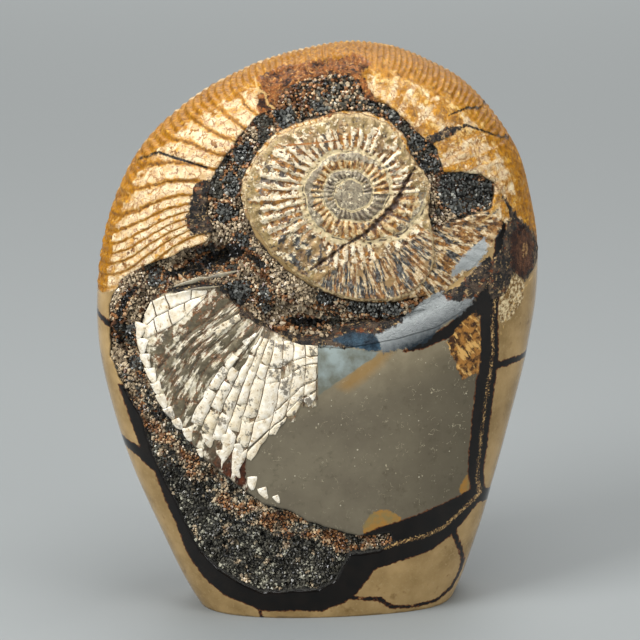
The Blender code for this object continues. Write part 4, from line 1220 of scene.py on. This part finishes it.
# Low on the left the ribs are crushed: dark streaks and pale lumps in tan.
crushed = mottled(
    m, place, tan, (mottled(m, place, "#26221E", ("#5E5E5A", 1.0)), 2.6, 0.50, 0.56, 5.0),
    ("#EADBB8", 3.0, 0.57, 0.61, 5.0),
)
crushed_value = add(m, "Attribute", attribute_name="crushed", out="Fac")
crushed_value = strayed(m, crushed_value, broad_noise, 1.6)
surface = overlaid(m, surface, (crushed_value, 0.30, 0.42, crushed))
surface = mottled(
    m, place, surface, ("#EFE0BC", 1.9, 0.57, 0.62, 5.0, 0.7), ("#3A2414", 1.3, 0.56, 0.63, 5.0, 0.75),
)
seam_gap = stripe(m, coil_whorl, 0.40, 0.44)
seam_gap = add(m, "Math", seam_gap, add(m, "MapRange", waver_noise, 0.38, 0.5), operation="MULTIPLY")
surface = add(m, "MixRGB", seam_gap, surface, "#DCC799")
seam_line = add(m, "MapRange", broad_noise, 0.50, 0.56)
seam_line = add(m, "Math", stripe(m, coil_whorl, 0.475, 0.492), seam_line, operation="MULTIPLY")
surface = add(m, "MixRGB", seam_line, surface, "#4A3822")
fan_here = inside_mark(m, "fan", 0.2, 0.8, waver_noise)
surface = add(m, "MixRGB", fan_here, surface, fan_colour(m, place, swing, reach_out))
for name, tone, soft, waver in (
    ("thread", "#A86A28", 0.12, 0.4),
    ("crack", mottled(m, place, "#5A3A20", ("#94683A", 1.0)), 0.5, 1.2),
    ("crack", mottled(m, place, "#241810", ("#5A3E28", 1.0)), 0.2, 0.9),
):
    surface = add(m, "MixRGB", inside_mark(m, name, soft, waver, waver_noise), surface, tone)
at_edge = add(m, "MapRange", add(m, "Attribute", attribute_name="coil_edge", out="Fac"), 0.9, 0.4)
surface = add(m, "MixRGB", at_edge, surface, mottled(m, place, "#7A5C36", ("#D8BE8C", 1.0)))
wall = mottled(m, place, "#17110C", ("#5E4022", 1.3))
surface = add(m, "MixRGB", add(m, "Attribute", attribute_name="below", out="Fac"), surface, wall)
m.node_tree.links.new(surface, coil_shader.inputs["Base Color"])
height = add(m, "Math", fine_noise, 0.3, operation="MULTIPLY")
height = add(m, "Math", tuned, 0.10, height, operation="MULTIPLY_ADD")
bump = add(m, "Bump", Height=height, Strength=1.0, Distance=MM)
m.node_tree.links.new(bump, coil_shader.inputs["Normal"])
inner_whorls.data.materials.append(coil_shell)
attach(inner_whorls, "root")
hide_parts("nodule")

# ------------------------------------------------------------------ the druse
# Calcite that grew free into the open crack: a bed of small pointed crystals, grey-black in the hollows,
# and brown to rust where iron stained it along the fossil. Each is its own closed little solid.

CRYSTAL_PITCH = 0.76
CRYSTAL_STRAY = 0.4  # how far a crystal strays from its place, as a share of the pitch
CRYSTAL_SIDES = 5
CRYSTAL_LEAN = 0.42
CRYSTAL_SIZES = (0.32, 0.66)  # half their width, in mm
CRYSTAL_TALLNESS = (1.1, 2.1)  # height as a share of that
CRYSTAL_SHOULDER, CRYSTAL_ROOT = 0.12, 0.7  # where it is widest, up its height, and its point in the bed
DRUSE_FROM = (-65, 8)  # (x, z) of the first row's beginning
DRUSE_ROWS, DRUSE_COLUMNS = 250, 195
chance = np.random.default_rng(7)
rows, columns = np.meshgrid(np.arange(DRUSE_ROWS), np.arange(DRUSE_COLUMNS))
x = DRUSE_FROM[0] + (columns + 0.5 * (rows % 2)).ravel() * CRYSTAL_PITCH
z = DRUSE_FROM[1] + rows.ravel() * CRYSTAL_PITCH * ROW_PITCH
x = x + chance.uniform(-CRYSTAL_STRAY, CRYSTAL_STRAY, x.shape) * CRYSTAL_PITCH
z = z + chance.uniform(-CRYSTAL_STRAY, CRYSTAL_STRAY, z.shape) * CRYSTAL_PITCH
room = inward(x, z, HOLLOW_RIM)
free = (room > 0.3) & (inward(x, z, COIL_OUTLINE) < -0.2)
x, z, room = x[free], z[free], room[free]


def crust_y(x, z):
    """Y of the crystals' bed."""
    face = front_face(x, z)
    return face + rounding(x, z) + crust_top(x, z, face) * smooth(-0.5, 0.8, inward(x, z, HOLLOW_RIM))


def of_length_one(vectors):
    """The same directions, each 1 long."""
    return vectors / np.linalg.norm(vectors, axis=1)[:, None]


STEP = 0.3  # mm over which the bed's slope is measured
bed_y = crust_y(x, z)
rise_x, rise_z = crust_y(x + STEP, z) - bed_y, crust_y(x, z + STEP) - bed_y
upright = of_length_one(np.stack([rise_x, np.full(x.shape, -STEP), rise_z], 1))
axis = of_length_one(upright + chance.normal(0, CRYSTAL_LEAN, upright.shape))
side = of_length_one(np.cross(axis, chance.normal(0, 1, axis.shape)))
other = np.cross(axis, side)
spot = in_front(x, z)
coarse = smooth(0.0, 0.8, lumps(spot, 6.0, 34)) * smooth(70, 90, z)
size = chance.uniform(*CRYSTAL_SIZES, x.shape) * (0.85 + 0.4 * coarse + 0.5 * chance.random(x.shape) ** 4)
tall = size * chance.uniform(*CRYSTAL_TALLNESS, x.shape)
tall = np.minimum(tall, np.maximum(bed_y - front_face(x, z) - 0.25, 0.3))
foot_point = np.stack([x, bed_y, z], 1)
spin = chance.uniform(0, math.tau, x.shape)
corners = []
for k in range(CRYSTAL_SIDES):
    angle = spin + k * math.tau / CRYSTAL_SIDES
    half = (size * chance.uniform(0.75, 1.15, x.shape))[:, None]
    corners.append(foot_point + (side * np.cos(angle)[:, None] + other * np.sin(angle)[:, None]) * half)
    corners[-1] += axis * (CRYSTAL_SHOULDER * tall)[:, None]
corners += [foot_point + axis * tall[:, None], foot_point - axis * (CRYSTAL_ROOT * size)[:, None]]
crystal_points = np.stack(corners, 1)
ring_k = np.arange(CRYSTAL_SIDES)
next_k = (ring_k + 1) % CRYSTAL_SIDES
one_crystal = np.concatenate([
    np.stack([ring_k, next_k, np.full(CRYSTAL_SIDES, CRYSTAL_SIDES)], 1),
    np.stack([next_k, ring_k, np.full(CRYSTAL_SIDES, CRYSTAL_SIDES + 1)], 1),
])
crystal_faces = one_crystal[None] + np.arange(len(x))[:, None, None] * (CRYSTAL_SIDES + 2)

# Iron stain: most over the crack's upper reaches and in a ridge beside the mudstone, least in the deep
# fissures and the wide hollow. Lines are (x, z, half their width).
RUST_RIDGE = [
    (-57, 73, 2.0), (-49, 61, 2.5), (-42, 54, 3.0), (-34, 48, 3.5), (-25, 39, 4.0), (-11, 33, 4.5),
    (-2, 31, 4.0), (6, 27, 3.5), (14, 26, 3.0), (22.5, 27, 2.5),
]
FISSURES = [
    [(-46, 112.4, 0.6), (-41, 113.6, 1.1), (-34, 115.6, 1.6), (-28, 118.2, 2.2), (-24.6, 120.4, 2.4)],
    [(-54.5, 108.5, 0.4), (-58, 104.5, 0.9), (-60.4, 98.5, 0.8), (-61.4, 92, 0.3)],
    [(-19.5, 118.6, 1.2), (-16.5, 116.2, 1.0)],
    [(-9, 98, 0.8), (-4.5, 96.8, 1.9), (0, 96.4, 1.3)],
]
RUST_SEAMS = [
    [(-25.6, 127, 0.5), (-22.6, 117.5, 0.6), (-15.5, 112.5, 1.3), (-14, 109.5, 0.5), (-10.6, 106.2, 0.6),
     (-1.8, 102.2, 0.5), (7, 99.6, 0.5), (20.2, 98.7, 0.4)],
    [(-27, 103.6, 0.8), (-23.7, 102.2, 1.7), (-19.3, 97.4, 1.6), (-15.5, 95.8, 0.9), (2.7, 95.2, 0.9)],
    [(-18.5, 108, 0.4), (-19.6, 104.5, 0.5), (-13, 104.6, 0.7)],
]
# Patches of blue-black crystals: (x, z, radius).
SLATY = [
    (-23.9, 107.8, 4.0), (-16.4, 107.0, 2.2), (-16.2, 102.6, 1.9), (-22.6, 123.6, 2.6),
    (-27.5, 133, 3.2), (-25.5, 141, 3.2), (-22, 150, 3.0), (2.5, 105.3, 3.0), (17, 102.4, 3.2),
    (12, 102.6, 3.0), (23, 102, 2.2), (43, 137.5, 6.5), (49, 135.5, 4.5), (34, 146, 3.0),
    (29.5, 153, 2.6), (-10, 160.5, 2.4), (2, 163.2, 1.8), (16, 164.5, 1.8), (23, 160.6, 2.2),
    (-48, 111.0, 2.6), (-33.5, 120.3, 2.4), (-57.5, 94, 2.6), (-55, 84, 2.4),
]
SLATE, GREY, CLAY, RUST = -2.0, -0.5, 0.15, 0.5  # what a crystal's stain says
ridge = smooth(-2.0, 1.0, along(x, z, RUST_RIDGE))
fissure = along(x, z, *FISSURES) + 0.5 * lumps(spot, 1.8, 33)
rust_seam = along(x, z, *RUST_SEAMS) + 0.5 * lumps(spot, 1.8, 40)
slaty = within(x, z, SLATY) + 1.3 * lumps(spot, 2.6, 43)
upper = smooth(62, 84, z)
patches = lumps(spot, 5.0, 31) + 0.45 * lumps(spot, 1.9, 32)
# Over the upper reaches, grey-brown clay and black crystals in patches, with rust where they meet.
clay = patches + 0.42 - 0.35 * smooth(125, 135, z)
rust_edge = 1 - np.abs(clay) / 0.14 + 1.2 * smooth(1.3, 0.4, room) + 0.6 * lumps(spot, 2.4, 38)
above = np.where(clay > 0, CLAY, GREY)
above = np.where(rust_edge + chance.normal(0, 0.2, x.shape) > 0.45, RUST, above)
above = np.where(slaty > 0, SLATE, above)
on_seam = (rust_seam > 0) | (np.abs(fissure + 0.5) < 0.5) | (np.abs(slaty + 0.3) < 0.3)
above = np.where(on_seam & (chance.random(x.shape) < 0.75), RUST, above)
# In the deep fissures the crystals are blue-black, and further on they are darkened nearly to black: painted
# shadow in the fissures.
above = np.where(fissure > 0, SLATE, above)
in_hollow = 0.85 * ridge + 0.65 * lumps(spot, 3.2, 39) + 0.35 * lumps(spot, 1.6, 32) - 0.50
in_hollow += chance.normal(0, 0.08, x.shape)
stain = np.where(chance.random(x.shape) < upper, above, in_hollow)
# Beside the crumbly patch at the top, rust and clay colours, and blacker towards the right.
in_patch = smooth(-2, 1, inward(x, z, TOP_PATCH)) + 0.4 * patches
rust_chance = 0.7 - 0.5 * smooth(-6, 4, x + 0.6 * (168 - z))
browned = np.where(chance.random(x.shape) < rust_chance, RUST, GREY)
browned = np.where((browned == GREY) & (chance.random(x.shape) < 0.45), CLAY, browned)
stain = np.where((in_patch > 0.6) & (slaty < 0), browned, stain)
# How light each crystal is: its own tone at random, and at the top of the range a painted glint.
light = chance.random(x.shape) ** (1.3 - 0.1 * upper) + 0.25 * lumps(spot, 4.0, 35)
dulled = (upper > 0.5) & (stain < 0) & (chance.random(x.shape) < 0.8)
light = np.where(dulled, np.minimum(light, 0.6), light)
# Painted shadow: crystals in the deep fissures darkened nearly to black.
light = np.where(fissure > 0, 0.06 * light, light)
# A band of painted glints along the crack's lower left edge, where the lamps sparkle on the crystals.
sparkle = smooth(6.0, 0.5, room) * smooth(46, 30, z) * smooth(0, -12, x)
light = np.clip(light + 0.55 * sparkle * chance.random(x.shape), 0, 1)

# The chart gives each crystal a small square of its own, because each has one colour.
per_row = math.ceil(math.sqrt(len(x)))
cell_corner = np.stack([np.arange(len(x)) % per_row, np.arange(len(x)) // per_row], 1)
cell_triangles = np.tile([[0.1, 0.1], [0.9, 0.1], [0.5, 0.9]], (len(one_crystal), 1, 1))
druse = mesh_object(
    "druse", crystal_points.reshape(-1, 3), crystal_faces.reshape(-1, 3),
    {"stain": np.repeat(stain, CRYSTAL_SIDES + 2), "light": np.repeat(light, CRYSTAL_SIDES + 2)},
    (cell_corner[:, None, None] + cell_triangles) / per_row, flat=True,
)

# Smoky calcite: glassy faces, each its own grey, brown or rust; the brightest faces carry painted glints,
# the lamps' sparkle laid into their colour.
smoky_calcite, smoky_shader = new_material("smoky and iron-stained calcite crystals", 0.28, 1.6, 0.4)
m = smoky_calcite
light = add(m, "Attribute", attribute_name="light", out="Fac")
stain = add(m, "Attribute", attribute_name="stain", out="Fac")
# The top of each range is a painted glint: pale faces that stand for the lamps' reflections.
grey = overlaid(m, "#12110F", (light, 0.0, 0.85, "#625F54"), (light, 0.88, 0.98, "#A8A592"))
umber = overlaid(m, "#665644", (light, 0.0, 0.8, "#CCB898"))
rust = overlaid(m, "#4C2E1C", (light, 0.0, 0.8, "#AC7A4E"), (light, 0.76, 0.90, "#CDB08A"))
slate = overlaid(m, "#0E0D0B", (light, 0.0, 0.7, "#6A6B66"), (light, 0.66, 0.88, "#B4B3A8"))
surface = overlaid(
    m, grey, (stain, -0.06, 0.06, umber), (stain, 0.26, 0.40, rust), (stain, -1.2, -1.6, slate),
)
m.node_tree.links.new(surface, smoky_shader.inputs["Base Color"])
druse.data.materials.append(smoky_calcite)
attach(druse, "root")
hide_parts("crystal_crust")

# ------------------------------------------------------------------ the broken shell of the body chamber
# Cream plates of shell, snapped across each rib when the nodule shrank, lying on the grey stone. They
# stand a little proud of it, with hairline cracks between them and pointed ends towards the mudstone.

PLATE_THICKNESS = 0.25
PLATE_ROUNDING = 0.10
PLATE_EDGE_SUNK, PLATE_ROOT = 0.05, 0.7  # how far its edges and its lowest point are within the bed
# Where the rows of points lie over each plate: close to its edges, which are broken sharp.
PLATE_STEPS_ACROSS = [0, 0.05, 0.32, 0.68, 0.95, 1]
PLATE_STEPS_ALONG = [0, 0.03, 0.17, 0.34, 0.5, 0.66, 0.83, 0.97, 1]
# Where the plates have all come off and the grey bed shows.
GREY_BED = [
    (-50.6, 91.5), (-46.8, 94.6), (-42.2, 97.4), (-37, 95), (-31, 88), (-33, 80), (-36.9, 76),
    (-40, 66), (-44, 66), (-49.3, 77.9), (-52.5, 85.2),
]
# The plate over the first rib, as its upper edge and its lower edge from the left.
BIG_PLATE = [(-52.9, 99.5), (-50.3, 103.8), (-45.7, 107), (-38.4, 108.8), (-33.3, 108.6)]
BIG_PLATE_FOOT = [(-52.2, 92.6), (-47.8, 94.8), (-43.2, 98.0), (-39, 101.4), (-33.8, 106.6)]
PLATE_CHART_CORNER = (-57, 38)
PLATE_CHART = 76  # mm from side to side of the chart
# Scales along the chamber's lower left edge, each the end of a rib: (x, z, length, lean in degrees).
SCALES = [
    (-53.9, 94.6, 5.4, 78), (-53.4, 89.6, 5.2, 84), (-52.3, 85.0, 5.0, 98), (-50.7, 80.8, 5.0, 110),
    (-49.0, 76.6, 4.8, 110), (-47.2, 72.6, 4.8, 112), (-45.0, 68.8, 4.4, 115), (-42.6, 65.4, 4.0, 118),
    (-39.4, 62.4, 4.6, 110), (-33.6, 60.6, 4.8, 100), (-28.2, 60.6, 4.6, 95), (-24.0, 57.8, 4.2, 98),
    (-20.0, 46.6, 4.6, 95), (-16.4, 43.4, 4.0, 105), (-24.8, 50.4, 3.4, 110), (-29.4, 56.0, 3.6, 95),
    (-12.4, 41.4, 3.0, 118), (-35.8, 56.4, 3.0, 110),
]


def chamber_point(u, v):
    """A point of the body chamber, u ribs from the first and v of the way outwards.

    It lies on a curve through the rib's three points.
    """
    lines = np.array(CHAMBER_RIBS)
    i = np.clip(np.floor(u).astype(int), 0, len(lines) - 2)
    t = (u - i)[..., None]
    a, b, c = (lines[i, k] * (1 - t) + lines[i + 1, k] * t for k in range(3))
    v = v[..., None]
    return a * (1 - v) * (1 - 2 * v) + b * 4 * v * (1 - v) + c * v * (2 * v - 1)


def chamber_y(x, z):
    """Y of the chamber's bed, with its ribs and its rounded upper edge."""
    relief = smooth(0.3, 2.0, inward(x, z, CHAMBER)) * chamber_ribs(rib_column(x, z))
    return front_face(x, z) + rounding(x, z) - relief


def wavered(place, seed, amount):
    """Spots (x, z), each moved up to so many mm."""
    flat = in_front(*place.reshape(-1, 2).T)
    shift = np.stack([lumps(flat, 2.2, seed), lumps(flat, 2.2, seed + 1)], 1)
    return place + amount * shift.reshape(place.shape)


plates = {"points": [], "faces": [], "tone": [], "to_edge": []}


def add_plate(spot, tone):
    """One closed plate over a grid of spots (x, z): a rounded top, its edges and its underside."""
    x, z = spot[..., 0], spot[..., 1]
    rows, columns = x.shape
    s, t = np.meshgrid(PLATE_STEPS_ACROSS, PLATE_STEPS_ALONG)
    wide = np.hypot(x[:, -1] - x[:, 0], z[:, -1] - z[:, 0])[:, None]
    long = np.hypot(x[-1] - x[0], z[-1] - z[0])[None, :]
    to_edge = np.minimum(np.minimum(s, 1 - s) * wide, np.minimum(t, 1 - t) * long)
    rough = 0.10 * lumps(in_front(x.ravel(), z.ravel()), 1.2, 41).reshape(x.shape)
    lift = PLATE_THICKNESS * (1 - np.exp(-to_edge / PLATE_ROUNDING)) + rough
    lift = np.where(to_edge > 0, lift, -PLATE_EDGE_SUNK)
    y = chamber_y(x.ravel(), z.ravel()).reshape(x.shape) - lift
    points = np.stack([x, y, z], -1).reshape(-1, 3)
    start = sum(map(len, plates["points"]))
    index = start + np.arange(rows * columns).reshape(rows, columns)
    a, b, c, d = index[:-1, :-1], index[:-1, 1:], index[1:, 1:], index[1:, :-1]
    edge = np.concatenate([index[0, :-1], index[:-1, -1], index[-1, :0:-1], index[:0:-1, 0]])
    under = np.full(len(edge), start + len(points))
    plates["faces"] += [np.stack([a, b, c], -1).reshape(-1, 3), np.stack([a, c, d], -1).reshape(-1, 3)]
    plates["faces"].append(np.stack([np.roll(edge, -1), edge, under], 1))
    plates["points"].append(np.concatenate([points, [points.mean(axis=0) + (0, PLATE_ROOT, 0)]]))
    plates["tone"].append(np.full(len(points) + 1, tone))
    plates["to_edge"].append(np.append(to_edge.ravel(), 0.0))


chance = np.random.default_rng(12)
s, t = np.meshgrid(PLATE_STEPS_ACROSS, PLATE_STEPS_ALONG)
HAIRLINE = 0.06  # half the width of a crack between plates, in mm
CROSS_CRACK = 0.004  # the same across a rib, as a share of the rib's length
LONG_CRACKS = [0.22, 0.36, 0.66, 0.84]  # shares of the rib's length where cracks run on from rib to rib
BROAD_RIBS_FROM = 4.5
# The plates over each rib, most of them lost at the left and nearly all there at the right.
for u0, u1 in zip(RIB_EDGES[1:-2], RIB_EDGES[2:-1]):
    v = 0.0
    while v < 0.98:
        end = min(v + chance.uniform(0.12, 0.30), 1.0)
        if u0 >= BROAD_RIBS_FROM:
            end = next((share for share in LONG_CRACKS if share > v + 0.05), 1.0)
            end += chance.uniform(-0.02, 0.02) * (end < 1)
        if 1.0 - end < 0.08:
            end = 1.0
        centre = chamber_point(np.array((u0 + u1) / 2), np.array((v + end) / 2))
        bare = inward(centre[:1], centre[1:], GREY_BED)[0] > -1.5
        kept_share = 0.95 if u0 >= 5 else 0.75 if u0 >= 3.7 else 0.42
        kept = chance.random() < kept_share and not bare
        drawn = chance.uniform(-0.025, 0.025, 2)
        tone = chance.random()
        if kept:
            at_left, at_right = (chamber_point(np.array(edge), np.array(v)) for edge in (u0, u1))
            gap_u = HAIRLINE / np.hypot(*(at_right - at_left))
            narrow = 1 - (0.85 * smooth(0.3, 1.0, t) if end == 1.0 else 0.0)
            u = u0 + (u1 - u0) * (gap_u + (1 - 2 * gap_u) * (0.5 + (s - 0.5) * narrow))
            skew = (drawn[0] * s + drawn[1] * (1 - s)) * (t if end < 1 else 1)
            skewed = v + CROSS_CRACK + (end - v - 2 * CROSS_CRACK) * t + skew
            add_plate(wavered(chamber_point(u, skewed), 42, 0.38), tone)
        v = end

# The big plate, broken in two rows of four.
for row in range(2):
    cuts = np.cumsum([0, *chance.uniform(0.7, 1.3, 4)])
    cuts = cuts / cuts[-1]
    for left, right in zip(cuts, cuts[1:]):
        along_edge = (left + 0.005) + (right - left - 0.01) * s
        steps = np.linspace(0, 1, len(BIG_PLATE))
        top, bottom = (
            np.stack([np.interp(along_edge, steps, values) for values in np.transpose(line)], -1)
            for line in (BIG_PLATE, BIG_PLATE_FOOT)
        )
        share = (row + 0.01 + 0.98 * t[..., None]) / 2
        add_plate(wavered(bottom * share + top * (1 - share), 44, 0.35), 0.25 * chance.random())

# The scales: each is broad at the top and narrows to a rounded tip.
for scale_x, scale_z, length, lean in SCALES:
    direction = np.array([math.cos(math.radians(lean)), math.sin(math.radians(lean))])
    across_scale = np.array([direction[1], -direction[0]])
    half = 0.36 * length * np.sqrt(np.clip(1.02 - t**1.5, 0, 1))
    spot = np.array([scale_x, scale_z]) + direction * ((0.5 - t) * length)[..., None]
    spot = spot + across_scale * ((2 * s - 1) * half)[..., None]
    add_plate(wavered(spot, 46, 0.4), 0.45 * chance.random())

# Thin layers of shell seen on edge, along the crack above the first rib: (x, z) of both ends, half width.
for (x0, z0), (x1, z1), half in (
    ((-44, 109.6), (-31, 113.6), 0.7), ((-36, 112.0), (-23, 115.2), 0.6), ((-40, 108.6), (-29, 110.4), 0.5),
):
    length = math.hypot(x1 - x0, z1 - z0)
    sideways = half * np.sin(math.pi * np.clip(t, 0.04, 0.96)) * (2 * s - 1)
    spot = np.stack([
        x0 + (x1 - x0) * t - (z1 - z0) / length * sideways,
        z0 + (z1 - z0) * t + (x1 - x0) / length * sideways,
    ], -1)
    add_plate(wavered(spot, 48, 0.3)[::-1], 1.6)

plate_points = np.concatenate(plates["points"])
plate_faces = np.concatenate(plates["faces"])
plate_chart = (plate_points[:, [0, 2]] - PLATE_CHART_CORNER) / PLATE_CHART
shell_plates = mesh_object(
    "shell_plates", plate_points, plate_faces,
    {"tone": np.concatenate(plates["tone"]), "to_edge": np.concatenate(plates["to_edge"])},
    plate_chart[plate_faces],
)

# Bleached shell, aragonite turned to calcite: chalky cream, with painted shade along its broken edges.
bleached_shell, plate_shader = new_material("bleached shell", 0.38, 1.53)
m = bleached_shell
place = place_in_mm(m)
chalk = mottled(m, place, "#DCCDB0", ("#F6EFDF", 2.0, 0.36, 0.62))
darker = mottled(m, place, "#D6C196", ("#F2E6CC", 1.5))
tone = add(m, "Attribute", attribute_name="tone", out="Fac")
chalk = overlaid(m, chalk, (tone, 0.7, 1.1, darker), (tone, 1.2, 1.5, "#8F8772"))
chalk = mottled(m, place, chalk, ("#A58A62", 1.6, 0.55, 0.66, 5.0, 0.75))
grimy = mottled(m, place, chalk, ("#7A7264", 3.6, 0.54, 0.59, 5.0, 0.75))
chalk = overlaid(m, chalk, (tone, 0.2, 0.5, grimy))
# Painted shade: each plate darkened within 0.03 mm of its broken edge.
edge_shadow = add(m, "MapRange", add(m, "Attribute", attribute_name="to_edge", out="Fac"), 0.03, 0.0)
chalk = add(m, "MixRGB", edge_shadow, chalk, "#7E684A")
m.node_tree.links.new(chalk, plate_shader.inputs["Base Color"])
bump = add(m, "Bump", Height=add(m, "TexNoise", place, 1 / 0.8, 4.0), Strength=0.6, Distance=0.3 * MM)
m.node_tree.links.new(bump, plate_shader.inputs["Normal"])
shell_plates.data.materials.append(bleached_shell)
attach(shell_plates, "root")
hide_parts("nodule")

# ------------------------------------------------------------------ camera, floor and light
# A long lens, fifteen degrees above the level of the stone's middle; a plain pale floor; soft lamps.

CAMERA_HEIGHT = 15.0
CAMERA_AWAY = 900.0
CAMERA_AIM = (0.75, 0.0, 90.5)
MM_PER_PIXEL = 0.314
PICTURE_PIXELS = 640
SENSOR = 36.0
rise = math.radians(CAMERA_HEIGHT)
camera_data = bpy.data.cameras.new("camera")
camera_data.sensor_width = SENSOR
camera_data.lens = SENSOR * CAMERA_AWAY / (PICTURE_PIXELS * MM_PER_PIXEL)
camera = bpy.data.objects.new("camera", camera_data)
camera.location = in_place(Vector(CAMERA_AIM) + CAMERA_AWAY * Vector((0, -math.cos(rise), math.sin(rise))))
camera.rotation_euler = (math.radians(90 - CAMERA_HEIGHT), 0, 0)
bpy.context.scene.collection.objects.link(camera)
bpy.context.scene.camera = camera

floor_mesh = bpy.data.meshes.new("floor")
floor_corners = [(-6, -3, 0), (6, -3, 0), (6, 9, 0), (-6, 9, 0)]
floor_mesh.from_pydata(floor_corners, [], [(0, 1, 2, 3)])
floor = bpy.data.objects.new("floor", floor_mesh)
bpy.context.scene.collection.objects.link(floor)
pale_floor, floor_shader = new_material("pale painted board", 0.6, 1.5)
floor_shader.inputs["Base Color"].default_value = colour("#838787")
floor_mesh.materials.append(pale_floor)

bpy.context.scene.view_settings.view_transform = "Standard"
world = bpy.data.worlds.new("studio")
bpy.context.scene.world = world
world.use_nodes = True
world.node_tree.nodes["Background"].inputs["Color"].default_value = colour("#CDD1D2")
world.node_tree.nodes["Background"].inputs["Strength"].default_value = 0.24
LAMPS = [  # name, place in m, aimed at, size in m, power in W
    ("key softbox", (-0.75, -0.55, 0.75), (0, 0, 0.09), (0.5, 0.7), 16),
    ("overhead softbox", (0.15, -0.15, 1.2), (0, 0, 0.1), (0.9, 0.7), 11),
    ("fill softbox", (0.9, -0.6, 0.45), (0, 0, 0.09), (0.5, 0.6), 6),
    ("backdrop softbox", (0.0, 2.2, 1.6), (0, 2.6, 0), (3.0, 1.0), 76),
]
for name, where, aim, size, power in LAMPS:
    lamp_data = bpy.data.lights.new(name, "AREA")
    lamp_data.shape = "RECTANGLE"
    lamp_data.size, lamp_data.size_y = size
    lamp_data.energy = power
    lamp = bpy.data.objects.new(name, lamp_data)
    lamp.location = where
    lamp.rotation_euler = (Vector(aim) - Vector(where)).to_track_quat("-Z", "Y").to_euler()
    bpy.context.scene.collection.objects.link(lamp)
